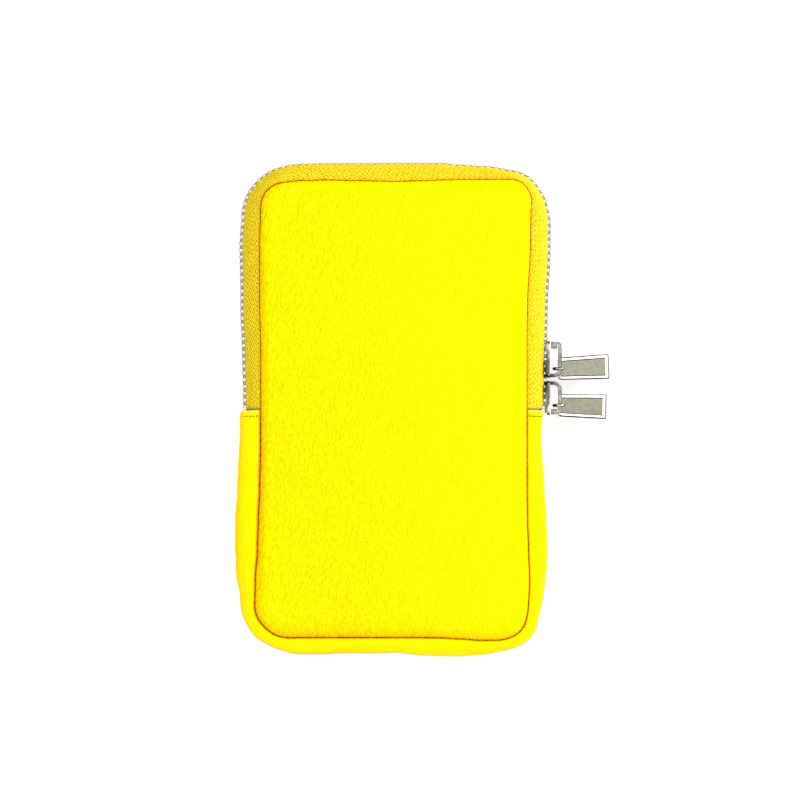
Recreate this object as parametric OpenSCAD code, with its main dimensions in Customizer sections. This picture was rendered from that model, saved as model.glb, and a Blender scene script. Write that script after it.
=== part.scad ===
// Zip-round leather phone pouch lying on its back.
// The zip side points along +Y, the sliders sit on the +X side, and the front panel faces +Z.
// Z is zero on the flat back face, and X and Y are zero at the middle of the back panel.

/* [Pouch] */
// Width of a panel from seam to seam
panel_w = 97.8; // [80:0.1:130]
// Height of a panel from seam to seam
panel_l = 166.8; // [130:0.1:200]
// Radius of the panel's two corners at the zip
seam_top_r = 9; // [6:0.5:16]
// Radius of the panel's two corners at the bottom
seam_bottom_r = 12; // [8:0.5:18]
// Height of the middle of the side walls above the table
mid_z = 10.1; // [9.9:0.1:14]
// Distance from the middle of the side walls to the outside of a panel's edge
edge_h = 9; // [7.5:0.1:11]
// How far the front panel's edge rolls up from its seam
front_roll_h = 1.8; // [1:0.1:3]
// How far the front panel domes above its rolled edge
front_crown_h = 1.6; // [0.5:0.1:3]
// Width of the rolled edge of either panel
roll_w = 5; // [3:0.1:8]
// Height across the front at which the open mouth folds
fold_y = 28; // [26:0.5:45]

/* [Materials] */
// Thickness of the leather
leather_t = 1.2; // [0.8:0.1:1.6]
// Thickness of the foam interlining
padding_t = 1.5; // [0.8:0.1:2]
// Thickness of the lining cloth
lining_t = 0.4; // [0.3:0.05:0.6]
// Air between two plies that lie on each other
ply_gap = 0.06; // [0.04:0.01:0.1]
// Air between the zip tape and the lining behind it
lining_gap = 0.24; // [0.2:0.01:0.3]
// Thickness of the seam thread
thread_d = 0.44; // [0.3:0.02:0.5]

/* [Walls] */
// How far the leather gusset bulges out at the sides
gusset_side_out = 7.1; // [5:0.1:9]
// How far the leather gusset bulges out at the bottom
gusset_end_out = 5.6; // [4:0.1:8]
// Radius of the gusset's outer corners
gusset_r = 23; // [18:0.5:30]
// How far the zip tape bulges out at the sides
zip_side_out = 6; // [4.5:0.1:7.5]
// How far the zip tape bulges out at the top
zip_end_out = 5.8; // [4.5:0.1:7.5]
// Radius of the zip's outer corners
zip_r = 21; // [16:0.5:26]
// Height of the gusset's hemmed ends at the panel seams
hem_seam_y = -0.6; // [-3:0.1:0]
// How much lower the hemmed ends sit in the middle of the wall
hem_dip = 1.1; // [0.9:0.1:2]
// How far the zip tape runs on under the hemmed ends
tape_under = 8; // [5:0.5:12]

/* [Zip] */
// Thickness of the zip tape
tape_t = 0.6; // [0.4:0.05:0.8]
// Distance from the middle of the chain to the tape's edge
tape_edge = 2.55; // [2.4:0.05:3]
// Distance between two teeth of one row
tooth_pitch = 2.5; // [2.4:0.05:3]
// Width of a tooth along the chain
tooth_w = 1.1; // [0.8:0.05:1.15]
// Thickness of a tooth
tooth_t = 2; // [1.4:0.05:2.2]
// How far a tooth reaches past the middle of the chain
tooth_reach = 0.8; // [0.5:0.05:1.2]
// Length of an end stop along the chain
stop_l = 1.5; // [1:0.1:1.6]

/* [Sliders] */
// Length of a slider
slider_l = 11; // [9:0.1:12]
// Width of a slider at its nose
slider_nose_w = 9.2; // [8.6:0.1:11]
// Width of a slider at its tail
slider_tail_w = 7.2; // [7:0.1:8]
// Thickness of a slider's plates
plate_t = 0.9; // [0.6:0.05:1.2]
// Gap between a slider's plates
slider_gap = 2.3; // [2.25:0.05:3]
// Distance between the two noses
nose_gap = 3.2; // [2:0.1:5]
// Height at which the two noses meet
nose_y = 11.2; // [11:0.1:13]
// Height of the crown above the outer plate
crown_h = 4.45; // [4.4:0.05:5.5]
// Thickness of the crown's band
crown_t = 1.3; // [1:0.05:1.35]
// Width of the crown's band
crown_w = 1.6; // [1.2:0.05:1.65]
// Length of the crown's broad free tip
crown_tip_l = 2.4; // [1.8:0.1:3]
// Gap under the crown's free tip
crown_tip_gap = 0.6; // [0.3:0.05:1]

/* [Pulls] */
// Length of a pull tab's rectangular plate
tab_l = 18.7; // [12:0.1:30]
// Width of a pull tab at its inner end
tab_inner_w = 8.2; // [6:0.1:9]
// Width of a pull tab at its outer end
tab_outer_w = 9.1; // [7:0.1:10]
// Thickness of a pull tab at its border
tab_t = 1.2; // [1:0.05:1.3]
// Width of a pull tab's raised border
tab_border = 1.2; // [0.8:0.05:1.6]
// Depth of the recessed field on each face
tab_recess = 0.25; // [0.1:0.05:0.35]
// Radius of the hole in a pull tab's eye
eye_hole_r = 0.75; // [0.72:0.01:0.8]
// Wall round the hole in the eye
eye_wall = 0.7; // [0.5:0.05:0.7]
// Width of a link's wire along the crown
link_w = 1; // [0.8:0.05:1]
// Thickness of a link's wire
link_t = 0.9; // [0.7:0.05:0.95]
// Inner radius of a link's round ends
link_r = 1.1; // [1.06:0.01:1.15]
// Distance between the centres of a link's round ends
link_l = 1.9; // [1.7:0.05:2.2]
// Angle at which the pulls droop to the table, in degrees
pull_droop = 23; // [0:0.5:23.5]
// Tilt of the upper pull tab in its own plane, in degrees
upper_tilt = 2.7; // [-6:0.1:6]
// Tilt of the lower pull tab in its own plane, in degrees
lower_tilt = -1.6; // [-6:0.1:6]

/* [Hidden] */
$fn = 48;

// Flat steps in each corner of a wall, and along its sides and end
corner_steps = 8;
side_steps = 3;
end_steps = 4;
// Steps round half of a wall's cross-section
wall_steps = 7;
// Exponent that makes the cross-section fuller than an ellipse
wall_fullness = 2.8;
// Gap from the thread to the pieces on its two sides
seam_clear = 0.13;
// Gap between the fixed front and the part of it that folds open
fold_gap = 0.3;
// Overrun of a cut or a join
over = 0.02;

half_w = panel_w / 2;
half_l = panel_l / 2;
seam_half = thread_d / 2 + seam_clear;
chain_x = half_w + zip_side_out;
chain_y = half_l + zip_end_out;
hem_mid_y = hem_seam_y - hem_dip;
tape_low_y = hem_mid_y - tape_under;
upper_fold_y = fold_y + fold_gap;

// Shares of a panel's half width at which its surface is drawn, from the middle to the edge
column_shares = [0, 0.45, 0.8, 0.9, 0.94, 0.975, 0.993, 1];
last_column = len(column_shares) - 1;
columns = concat(
    [for (i = [last_column : -1 : 1]) -column_shares[i]],
    column_shares
);

// Surface of a panel

// A row holds its height, the half width there and the distance from the panel's end
function arc_row(r, a, end, inset) = let (y = half_l - inset - r + r * sin(a))
    [end * y, half_w - inset - r + r * cos(a), half_l - inset - y];
function low_rows(inset) = [
    for (i = [0 : corner_steps])
        arc_row(seam_bottom_r, 90 - 90 * i / corner_steps, -1, inset)
];
function high_rows(inset) = [
    for (i = [0 : corner_steps]) arc_row(seam_top_r, 90 * i / corner_steps, 1, inset)
];
function straight_rows(y0, y1, steps, inset) = [
    for (i = [1 : steps - 1]) let (y = y0 + (y1 - y0) * i / steps)
        [y, half_w - inset, half_l - inset - abs(y)]
];
function fold_row(y, inset) = [[y, half_w - inset, half_l - inset - abs(y)]];
function rows_below(y, inset) = concat(
    low_rows(inset),
    straight_rows(seam_bottom_r - half_l + inset, y, 2 * side_steps, inset),
    fold_row(y, inset)
);
function rows_above(y, inset) = concat(
    fold_row(y, inset),
    straight_rows(y, half_l - seam_top_r - inset, side_steps, inset),
    high_rows(inset)
);

// Share of the full roll at a distance from the edge
function roll_share(d) = let (s = min(d / roll_w, 1)) sqrt(1 - (1 - s) * (1 - s));
function dome_share(x, y) = (1 - pow(x / half_w, 2)) * (1 - pow(y / half_l, 2));
function panel_z(row, share, roll_h, crown_h) = let (
    x = row[1] * share,
    d = min(row[1] * (1 - abs(share)), row[2])
) edge_h + roll_h * roll_share(d) + crown_h * dome_share(x, row[0]);

// One ply of a panel: side is 1 for the front and -1 for the back, and deep is the distance
// from the outside of the leather to the outside of this ply
module ply(rows, side, roll_h, crown_h, deep, t, skip_low, skip_high, skip_side) {
    r0 = skip_low;
    r1 = len(rows) - 1 - skip_high;
    c0 = skip_side;
    c1 = len(columns) - 1 - skip_side;
    nr = r1 - r0 + 1;
    nc = c1 - c0 + 1;
    points = [
        for (layer = [0, 1]) for (r = [r0 : r1]) for (c = [c0 : c1])
            [
                rows[r][1] * columns[c],
                rows[r][0],
                mid_z + side * (panel_z(rows[r], columns[c], roll_h, crown_h) - deep - layer * t)
            ]
    ];
    n = nr * nc;
    out_faces = [
        for (r = [0 : nr - 2]) for (c = [0 : nc - 2]) let (a = r * nc + c, b = a + nc)
            each [[a, b, b + 1], [a, b + 1, a + 1]]
    ];
    in_faces = [for (f = out_faces) [n + f[2], n + f[1], n + f[0]]];
    rim = concat(
        [for (c = [0 : nc - 2]) c],
        [for (r = [0 : nr - 2]) r * nc + nc - 1],
        [for (c = [nc - 1 : -1 : 1]) (nr - 1) * nc + c],
        [for (r = [nr - 1 : -1 : 1]) r * nc]
    );
    rim_faces = [
        for (i = [0 : len(rim) - 1]) let (a = rim[i], b = rim[(i + 1) % len(rim)])
            each [[a, b, n + b], [a, n + b, n + a]]
    ];
    faces = concat(out_faces, in_faces, rim_faces);
    polyhedron(points, side > 0 ? faces : [for (f = faces) [f[2], f[1], f[0]]]);
}

padding_deep = leather_t + ply_gap;
lining_deep = padding_deep + padding_t + ply_gap;
back_roll_h = mid_z - edge_h;
// The outermost rows and columns that the inner plies leave out
edge_rows = 1;
edge_columns = 1;

module front_low_ply(deep, t, rows_off, columns_off) {
    ply(rows_below(fold_y, seam_half), 1, front_roll_h, front_crown_h, deep, t, rows_off, 0, columns_off);
}
module front_high_ply(deep, t, rows_off, columns_off) {
    ply(
        rows_above(upper_fold_y, seam_half), 1, front_roll_h, front_crown_h,
        deep, t, 0, rows_off, columns_off
    );
}
module back_ply(deep, t, rows_off, columns_off) {
    rows = concat(
        rows_below(0, seam_half),
        straight_rows(0, half_l - seam_top_r - seam_half, side_steps, seam_half),
        high_rows(seam_half)
    );
    ply(rows, -1, back_roll_h, 0, deep, t, rows_off, rows_off, columns_off);
}

// The walls between the two panels

// Outline over the top of the pouch, from low on the right side to low on the left side
function arch(hw, hl, r, y0) = concat(
    [for (i = [0 : side_steps - 1]) [hw, y0 + (hl - r - y0) * i / side_steps]],
    [
        for (i = [0 : corner_steps]) let (a = 90 * i / corner_steps)
            [hw - r + r * cos(a), hl - r + r * sin(a)]
    ],
    [for (i = [1 : end_steps - 1]) [(hw - r) * (1 - 2 * i / end_steps), hl]],
    [
        for (i = [0 : corner_steps]) let (a = 90 + 90 * i / corner_steps)
            [r - hw + r * cos(a), hl - r + r * sin(a)]
    ],
    [for (i = [side_steps - 1 : -1 : 0]) [-hw, y0 + (hl - r - y0) * i / side_steps]]
);
function leg(x, y0, y1) = [
    for (i = [0 : side_steps]) [x, y0 + (y1 - y0) * i / side_steps]
];

function full(v) = sign(v) * pow(abs(v), 2 / wall_fullness);
// Angle round the cross-section at which a wall of half height h reaches height v
function wall_angle(h, v) = asin(pow(v / h, wall_fullness / 2));
function wall_angles(a0, a1) = [for (i = [0 : wall_steps]) a0 + (a1 - a0) * i / wall_steps];
function wall_point(s, o, a, h, off, dip) = let (
    d = o - s,
    out = d + off * d / norm(d),
    xy = s + out * full(cos(a))
) [xy[0], xy[1] - dip * full(cos(a)), mid_z + (h + off) * full(sin(a))];

// A wall follows the seam outline and the outer outline; its hemmed ends dip between the seams
module wall(seam, outer, angles, h, t, dip) {
    m = len(angles);
    k = 2 * m;
    last = len(seam) - 1;
    points = [
        for (i = [0 : last]) let (hem = (i == 0 || i == last) ? dip : 0)
            each concat(
                [for (a = angles) wall_point(seam[i], outer[i], a, h, t / 2, hem)],
                [
                    for (j = [m - 1 : -1 : 0])
                        wall_point(seam[i], outer[i], angles[j], h, -t / 2, hem)
                ]
            )
    ];
    side_faces = [
        for (i = [0 : last - 1]) for (j = [0 : k - 1])
            let (a = i * k + j, b = i * k + (j + 1) % k)
                each [[a, b + k, b], [a, a + k, b + k]]
    ];
    cap = [
        for (j = [0 : m - 2])
            each [[j, j + 1, k - 2 - j], [j, k - 2 - j, k - 1 - j]]
    ];
    far_cap = [for (f = cap) [last * k + f[2], last * k + f[1], last * k + f[0]]];
    polyhedron(points, concat(side_faces, cap, far_cap));
}

seam_hw = half_w + seam_half;
seam_hl = half_l + seam_half;
tape_h = edge_h - leather_t / 2 - tape_t / 2 - ply_gap;
lining_side_out = zip_side_out - tape_t / 2 - lining_t / 2 - lining_gap;
lining_end_out = gusset_end_out - leather_t / 2 - lining_t / 2 - lining_gap;
gusset_lining_h = tape_h - tape_t / 2 - lining_t / 2 - lining_gap;
tape_a = wall_angle(tape_h, tape_edge);
// The gusset is drawn at the same angles as the tape under its ends, so their flats run side by side
full_angles = concat(wall_angles(90, tape_a), [0], wall_angles(-tape_a, -90));

module front_tape_wall(seam, outer) {
    wall(seam, outer, wall_angles(90, tape_a), tape_h, tape_t, 0);
}
module back_tape_wall(seam, outer) {
    wall(seam, outer, wall_angles(-tape_a, -90), tape_h, tape_t, 0);
}

module back_panel() {
    color("gold") back_ply(0, leather_t, 0, 0);
}

module back_padding() {
    color("whitesmoke") back_ply(padding_deep, padding_t, edge_rows, edge_columns);
}

module back_lining() {
    color("dimgray") back_ply(lining_deep, lining_t, edge_rows, edge_columns);
}

module front_panel_lower() {
    color("yellow") front_low_ply(0, leather_t, 0, 0);
}

module front_padding_lower() {
    color("whitesmoke") front_low_ply(padding_deep, padding_t, edge_rows, edge_columns);
}

module front_lining_lower() {
    color("dimgray") front_low_ply(lining_deep, lining_t, edge_rows, edge_columns);
}

module front_panel_upper() {
    color("yellow") front_high_ply(0, leather_t, 0, 0);
}

module front_padding_upper() {
    color("whitesmoke") front_high_ply(padding_deep, padding_t, edge_rows, edge_columns);
}

module front_lining_upper() {
    color("dimgray") front_high_ply(lining_deep, lining_t, edge_rows, edge_columns);
}

// The gusset runs from hem to hem round the bottom of the pouch
module bottom_gusset() {
    color("gold") mirror([0, 1, 0]) wall(
        arch(seam_hw, seam_hl, seam_bottom_r, -hem_seam_y),
        arch(half_w + gusset_side_out, half_l + gusset_end_out, gusset_r, -hem_seam_y),
        full_angles, edge_h, leather_t, -hem_dip
    );
}

module gusset_lining() {
    color("dimgray") mirror([0, 1, 0]) wall(
        arch(seam_hw, seam_hl, seam_bottom_r, -hem_mid_y),
        arch(half_w + lining_side_out, half_l + lining_end_out, gusset_r, -hem_mid_y),
        full_angles, gusset_lining_h, lining_t, 0
    );
}

// Stitches that hold the hems to the zip tape: four each on the front half and on the back half
stitch_l = 0.9;
stitch_count = 4;
stitch_below_hem = 1.6;
stitch_clear = 0.04;
// Angles round the cross-section at which they lie
stitch_a0 = 80;
stitch_a_step = 13;

module gusset_end_stitching() {
    off = leather_t / 2 + stitch_clear + thread_d / 2;
    color("khaki") for (side = [-1, 1]) for (face = [-1, 1]) for (i = [0 : stitch_count - 1]) {
        a = stitch_a0 - i * stitch_a_step;
        p = wall_point([seam_hw, 0], [half_w + gusset_side_out, 0], a, edge_h, off, hem_dip);
        lie = atan2(gusset_side_out * full(cos(a)), edge_h * full(sin(a)));
        translate([side * p[0], hem_seam_y + p[1] - stitch_below_hem, mid_z + face * (p[2] - mid_z)])
            rotate([0, side * face * lie, 0])
                cube([stitch_l, thread_d, thread_d], center = true);
    }
}

module zip_tape_back() {
    color("goldenrod") back_tape_wall(
        arch(seam_hw, seam_hl, seam_top_r, tape_low_y),
        arch(chain_x, chain_y, zip_r, tape_low_y)
    );
}

module zip_tape_front_lower() {
    color("goldenrod") for (side = [0, 1]) mirror([side, 0, 0])
        front_tape_wall(leg(seam_hw, tape_low_y, fold_y), leg(chain_x, tape_low_y, fold_y));
}

module zip_tape_front_upper() {
    color("goldenrod") front_tape_wall(
        arch(seam_hw, seam_hl, seam_top_r, upper_fold_y),
        arch(chain_x, chain_y, zip_r, upper_fold_y)
    );
}

// The chain

chain_y0 = hem_mid_y + 2 * over;
chain_side = chain_y - zip_r - chain_y0;
chain_corner = zip_r * PI / 2;
chain_end = 2 * (chain_x - zip_r);
chain_l = 2 * chain_side + 2 * chain_corner + chain_end;

// Place on the chain at a distance from its right-hand end: x, y and the turn
function chain_at(s) =
    s < chain_side ? [chain_x, chain_y0 + s, 0] :
    s < chain_side + chain_corner ? chain_turn(s - chain_side, chain_x - zip_r, 0) :
    s < chain_side + chain_corner + chain_end ?
        [chain_x - zip_r - (s - chain_side - chain_corner), chain_y, 90] :
    s < chain_l - chain_side ?
        chain_turn(s - chain_side - chain_corner - chain_end, zip_r - chain_x, 90) :
    [-chain_x, chain_y0 + chain_l - s, 180];
function chain_turn(s, x, a0) = let (a = a0 + 90 * s / chain_corner)
    [x + zip_r * cos(a), chain_y - zip_r + zip_r * sin(a), a];

// Room at each end of the chain for its stop, and round the noses for the sliders' wedges
stop_clear = 0.2;
tooth_seat = 0.1;
wedge_w = 2.6;
wedge_l = 5;
wedge_clear = 0.3;
split_reach = nose_gap / 2 + wedge_l + wedge_clear + tooth_w / 2;

module chain_piece(s, side, reach, l) {
    p = chain_at(s);
    split = p[0] > 0 && abs(p[1] - nose_y) < split_reach;
    low = split ? wedge_w / 2 + wedge_clear : -reach;
    high = tape_edge - tooth_seat;
    translate([p[0], p[1], mid_z + side * (low + high) / 2])
        rotate([0, 0, p[2]])
            cube([tooth_t, l, high - low], center = true);
}

function is_high(s) = chain_at(s)[1] - tooth_w / 2 > upper_fold_y;

module tooth_row(side, shift, want_low, want_high) {
    first = stop_l + stop_clear + tooth_w / 2 + shift;
    n = floor((chain_l - 2 * (stop_l + stop_clear) - tooth_w - shift) / tooth_pitch);
    color("silver") for (i = [0 : n]) {
        s = first + i * tooth_pitch;
        if (is_high(s) ? want_high : want_low) chain_piece(s, side, tooth_reach, tooth_w);
    }
}

module zip_teeth_back() {
    tooth_row(-1, tooth_pitch / 2, true, true);
}

module zip_teeth_front_lower() {
    tooth_row(1, 0, true, false);
}

module zip_teeth_front_upper() {
    tooth_row(1, 0, false, true);
}

module zip_end_stops() {
    stop_h = 2 * (tape_edge - tooth_seat);
    color("silver") for (side = [-1, 1])
        translate([side * chain_x, chain_y0 + stop_l / 2, mid_z])
            cube([tooth_t, stop_l, stop_h], center = true);
}

// The thread lies in the valley between a panel's edge and the wall
module seam_thread(path, closed) {
    r = thread_d / 2;
    n = len(path);
    points = [
        for (p = path) let (x = p[0][0], y = p[0][1], u = p[1])
            each [
                [x + r * u[0], y + r * u[1], p[2] - r], [x + r * u[0], y + r * u[1], p[2] + r],
                [x - r * u[0], y - r * u[1], p[2] + r], [x - r * u[0], y - r * u[1], p[2] - r]
            ]
    ];
    sides = [
        for (i = [0 : closed ? n - 1 : n - 2]) for (j = [0 : 3])
            let (a = 4 * i + j, b = 4 * i + (j + 1) % 4, c = 4 * ((i + 1) % n) + j,
                 d = 4 * ((i + 1) % n) + (j + 1) % 4)
                each [[a, d, b], [a, c, d]]
    ];
    e = 4 * (n - 1);
    caps = closed ? [] : [
        [0, 1, 2], [0, 2, 3], [e + 2, e + 1, e], [e + 3, e + 2, e]
    ];
    polyhedron(points, concat(sides, caps));
}

thread_z = edge_h - leather_t / 2;
// Each point of the thread's path is its place, its outward direction and its height
function thread_arc(r, a0, x_sign, y_sign, z) = [
    for (i = [0 : corner_steps]) let (a = a0 + 90 * i / corner_steps)
        [
            [x_sign * (half_w - r) + r * cos(a), y_sign * (half_l - r) + r * sin(a)],
            [cos(a), sin(a)], z
        ]
];
function top_arcs(z) = concat(
    thread_arc(seam_top_r, 0, 1, 1, z), thread_arc(seam_top_r, 90, -1, 1, z)
);
function bottom_arcs(z) = concat(
    thread_arc(seam_bottom_r, 180, -1, -1, z), thread_arc(seam_bottom_r, 270, 1, -1, z)
);
function thread_end(side, y, z) = [[[side * half_w, y], [side, 0], z]];

module back_seam_thread() {
    z = mid_z - thread_z;
    color("saddlebrown") seam_thread(concat(top_arcs(z), bottom_arcs(z)), true);
}

module front_seam_thread_lower() {
    z = mid_z + thread_z;
    color("saddlebrown") seam_thread(
        concat(thread_end(-1, fold_y, z), bottom_arcs(z), thread_end(1, fold_y, z)), false
    );
}

module front_seam_thread_upper() {
    z = mid_z + thread_z;
    color("saddlebrown") seam_thread(
        concat(thread_end(1, upper_fold_y, z), top_arcs(z), thread_end(-1, upper_fold_y, z)), false
    );
}

// Sliders: drawn with the nose at y = 0 and the tail at y = -slider_l, x outward from the chain

shoulder_l = 1.2;
nose_run = 5.4;
taper_l = 2.2;
flange_w = 0.7;
// Faces of the slot that the tape runs through, measured outward from the chain
slot_out = 0.35;
slot_in = 0.95;
crown_corner_r = 2.4;
crown_hole_r = 0.5;
crown_root_l = 1.2;
crown_end_inset = 0.2;

module slider_outline() {
    nose = slider_nose_w / 2;
    tail = slider_tail_w / 2;
    rounding = flange_w;
    polygon([
        [0, nose - shoulder_l], [-shoulder_l / 2, nose - shoulder_l / 4], [-shoulder_l, nose],
        [-nose_run, nose], [-nose_run - taper_l, tail],
        [rounding - slider_l, tail], [-slider_l, tail - rounding],
        [-slider_l, rounding - tail], [rounding - slider_l, -tail],
        [-nose_run - taper_l, -tail], [-nose_run, -nose],
        [-shoulder_l, -nose], [-shoulder_l / 2, shoulder_l / 4 - nose], [0, shoulder_l - nose]
    ]);
}

// Turns an outline drawn along and across the slider into a plate from x0 to x1
module slider_plate(x0, x1) {
    translate([x0, 0, 0]) rotate([90, 0, 90]) linear_extrude(x1 - x0) children();
}

module slider_body() {
    half = slider_gap / 2;
    slider_plate(half, half + plate_t) slider_outline();
    slider_plate(-half - plate_t, -half) slider_outline();
    slider_plate(-half - over, half + over) polygon([
        [-wedge_clear, 0], [-wedge_l / 2, wedge_w / 2],
        [-wedge_l, 0], [-wedge_l / 2, -wedge_w / 2]
    ]);
    for (side = [-1, 1]) {
        nose_z = side > 0 ? slider_nose_w / 2 - flange_w : -slider_nose_w / 2;
        tail_z = side > 0 ? slider_tail_w / 2 - flange_w : -slider_tail_w / 2;
        flange(nose_z, -nose_run, nose_run - shoulder_l, slot_out, half + over);
        flange(nose_z, -nose_run, nose_run - shoulder_l, -half - over, -slot_in);
        tail_run = slider_l - nose_run - taper_l - flange_w;
        flange(tail_z, flange_w - slider_l, tail_run, slot_out, half + over);
        flange(tail_z, flange_w - slider_l, tail_run, -half - over, -slot_in);
    }
    translate([half + plate_t - over, 0, -crown_w / 2]) linear_extrude(crown_w) crown_outline();
}

module flange(z, y, l, x0, x1) {
    translate([x0, y, z]) cube([x1 - x0, l, flange_w]);
}

// The crown is an open arch: its root stands at the nose and its tip hangs free at the tail
module crown_outline() {
    h = crown_h + over;
    y1 = -crown_end_inset;
    y0 = crown_end_inset - slider_l;
    r = crown_corner_r;
    hole_r = crown_hole_r;
    difference() {
        union() {
            translate([0, y0]) square([h - r, y1 - y0]);
            translate([0, y0 + r]) square([h, y1 - y0 - 2 * r]);
            for (y = [y0 + r, y1 - r]) translate([h - r, y]) circle(r);
        }
        translate([-over, y0 + crown_tip_l])
            square([h - crown_t - hole_r + over, y1 - y0 - crown_tip_l - crown_root_l]);
        translate([-over, y0 + crown_tip_l + hole_r])
            square([h - crown_t + over, y1 - y0 - crown_tip_l - crown_root_l - 2 * hole_r]);
        for (y = [y0 + crown_tip_l + hole_r, y1 - crown_root_l - hole_r])
            translate([h - crown_t - hole_r, y]) circle(hole_r);
        translate([-over, y0 - over]) square([crown_tip_gap + over, crown_tip_l + 2 * over]);
    }
}

upper_nose_y = nose_y + nose_gap / 2;
lower_nose_y = nose_y - nose_gap / 2;

module upper_slider() {
    color("silver") translate([chain_x, upper_nose_y, mid_z]) mirror([0, 1, 0]) slider_body();
}

module lower_slider() {
    color("silver") translate([chain_x, lower_nose_y, mid_z]) slider_body();
}

// Links hang on the crowns, and each pull tab hangs on the outer side of its link

pull_play = 0.25;
band_x = chain_x + slider_gap / 2 + plate_t + crown_h - crown_t / 2;
upper_link_y = upper_nose_y + crown_end_inset + crown_root_l + pull_play + link_w / 2;
lower_link_y = lower_nose_y - slider_l + crown_end_inset + crown_tip_l + pull_play + link_w / 2;
// Distances from the crown's band to the middle of the tab and to the middle of the link's wire
tab_down = link_r + tab_t / 2;
wire_out = link_r + link_t / 2;

// Drawn in the pull's own frame: x runs out along the pull, z is square to it
module at_pull(y) {
    translate([band_x, y, mid_z]) rotate([0, pull_droop, 0]) children();
}

module stadium(r) {
    circle(r);
    translate([0, -link_l]) circle(r);
    translate([-r, -link_l]) square([2 * r, link_l]);
}

module link() {
    translate([0, link_w / 2, 0]) rotate([90, 0, 0]) linear_extrude(link_w) difference() {
        stadium(link_r + link_t);
        stadium(link_r);
    }
}

module upper_link() {
    color("silver") at_pull(upper_link_y) link();
}

module lower_link() {
    color("silver") at_pull(lower_link_y) link();
}

// The tab is drawn round its hole, which its plate covers by this much
tab_back = 0.15;

module tab_outline(inset) {
    x0 = inset - tab_back;
    x1 = tab_l - inset;
    inner = tab_inner_w / 2 - inset;
    outer = tab_outer_w / 2 - inset;
    polygon([[x0, -inner], [x1, -outer], [x1, outer], [x0, inner]]);
}

module pull_tab(tilt) {
    eye_r = eye_hole_r + eye_wall;
    field_x = eye_r + tab_border / 2;
    translate([wire_out, 0, -tab_down]) rotate([0, 0, tilt]) difference() {
        translate([0, 0, -tab_t / 2]) linear_extrude(tab_t) union() {
            circle(eye_r);
            tab_outline(0);
        }
        translate([0, 0, -tab_t / 2 - over]) cylinder(h = tab_t + 2 * over, r = eye_hole_r);
        for (z = [tab_t / 2 - tab_recess, -tab_t / 2 - over])
            translate([0, 0, z]) linear_extrude(tab_recess + over) difference() {
                tab_outline(tab_border);
                translate([-tab_outer_w, -tab_outer_w]) square([tab_outer_w + field_x, 2 * tab_outer_w]);
            }
    }
}

module upper_pull_tab() {
    color("gainsboro") at_pull(upper_link_y) pull_tab(upper_tilt);
}

module lower_pull_tab() {
    color("gainsboro") at_pull(lower_link_y) pull_tab(lower_tilt);
}

back_panel();
back_padding();
back_lining();
front_panel_lower();
front_padding_lower();
front_lining_lower();
front_panel_upper();
front_padding_upper();
front_lining_upper();
bottom_gusset();
gusset_lining();
gusset_end_stitching();
zip_tape_back();
zip_tape_front_lower();
zip_tape_front_upper();
zip_teeth_back();
zip_teeth_front_lower();
zip_teeth_front_upper();
zip_end_stops();
back_seam_thread();
front_seam_thread_lower();
front_seam_thread_upper();
upper_slider();
lower_slider();
upper_link();
lower_link();
upper_pull_tab();
lower_pull_tab();
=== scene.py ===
import math

import bmesh
import bpy
from bmesh.types import BMEdge, BMFace, BMVert
from mathutils import Matrix, Vector, noise


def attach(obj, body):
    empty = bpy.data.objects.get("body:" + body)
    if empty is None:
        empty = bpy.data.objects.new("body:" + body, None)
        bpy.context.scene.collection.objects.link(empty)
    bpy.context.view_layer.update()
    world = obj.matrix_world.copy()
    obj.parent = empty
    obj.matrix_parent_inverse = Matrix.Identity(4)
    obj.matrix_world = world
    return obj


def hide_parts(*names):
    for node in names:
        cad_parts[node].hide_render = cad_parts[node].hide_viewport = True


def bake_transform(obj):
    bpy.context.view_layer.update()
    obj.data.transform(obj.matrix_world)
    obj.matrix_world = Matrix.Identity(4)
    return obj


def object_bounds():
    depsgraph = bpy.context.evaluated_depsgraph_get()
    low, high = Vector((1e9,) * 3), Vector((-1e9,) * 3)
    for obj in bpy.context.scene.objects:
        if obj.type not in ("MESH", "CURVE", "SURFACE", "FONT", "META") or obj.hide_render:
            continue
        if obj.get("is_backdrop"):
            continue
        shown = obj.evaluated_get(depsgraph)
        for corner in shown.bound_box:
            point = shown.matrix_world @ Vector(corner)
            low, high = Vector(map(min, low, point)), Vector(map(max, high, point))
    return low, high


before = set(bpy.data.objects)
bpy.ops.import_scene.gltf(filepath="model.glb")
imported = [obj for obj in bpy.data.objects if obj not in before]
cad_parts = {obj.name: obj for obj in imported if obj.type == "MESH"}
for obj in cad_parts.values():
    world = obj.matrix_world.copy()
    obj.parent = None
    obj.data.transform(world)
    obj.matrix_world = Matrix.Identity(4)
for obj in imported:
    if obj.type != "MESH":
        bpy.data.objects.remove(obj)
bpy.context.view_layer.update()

# FRONT PANEL
# One piece of soft pebbled cowhide, dyed through in a strong yellow. It is puffed up by the foam
# behind it, and its edge rolls down all round into a turned seam. Lengths are in millimetres,
# and a finished mesh is scaled to metres.
MM = 0.001
HALF_W, HALF_L = 48.9, 83.4
TOP_R, BOTTOM_R = 9.0, 12.0
MID_Z = 10.1
LEATHER_T = 1.1
VALLEY_H = 8.35
SEAM_GAP, SEAM_DEPTH, SEAM_ALLOWANCE = 0.04, 0.9, 1.3
ROLL_H, ROLL_W = 2.7, 3.7
DOME_H, PUFF_H, CREASE_H = 1.3, 0.3, 0.2
PANEL_STEPS, EDGE_POWER = 176, 1.5


def eased(stations, values, t):
    """The value at t, easing from one station to the next."""
    if t <= stations[0]:
        return values[0]
    for a, b, low, high in zip(stations, stations[1:], values, values[1:]):
        if t <= b:
            s = (t - a) / (b - a)
            return low + (high - low) * s * s * (3 - 2 * s)
    return values[-1]


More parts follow.
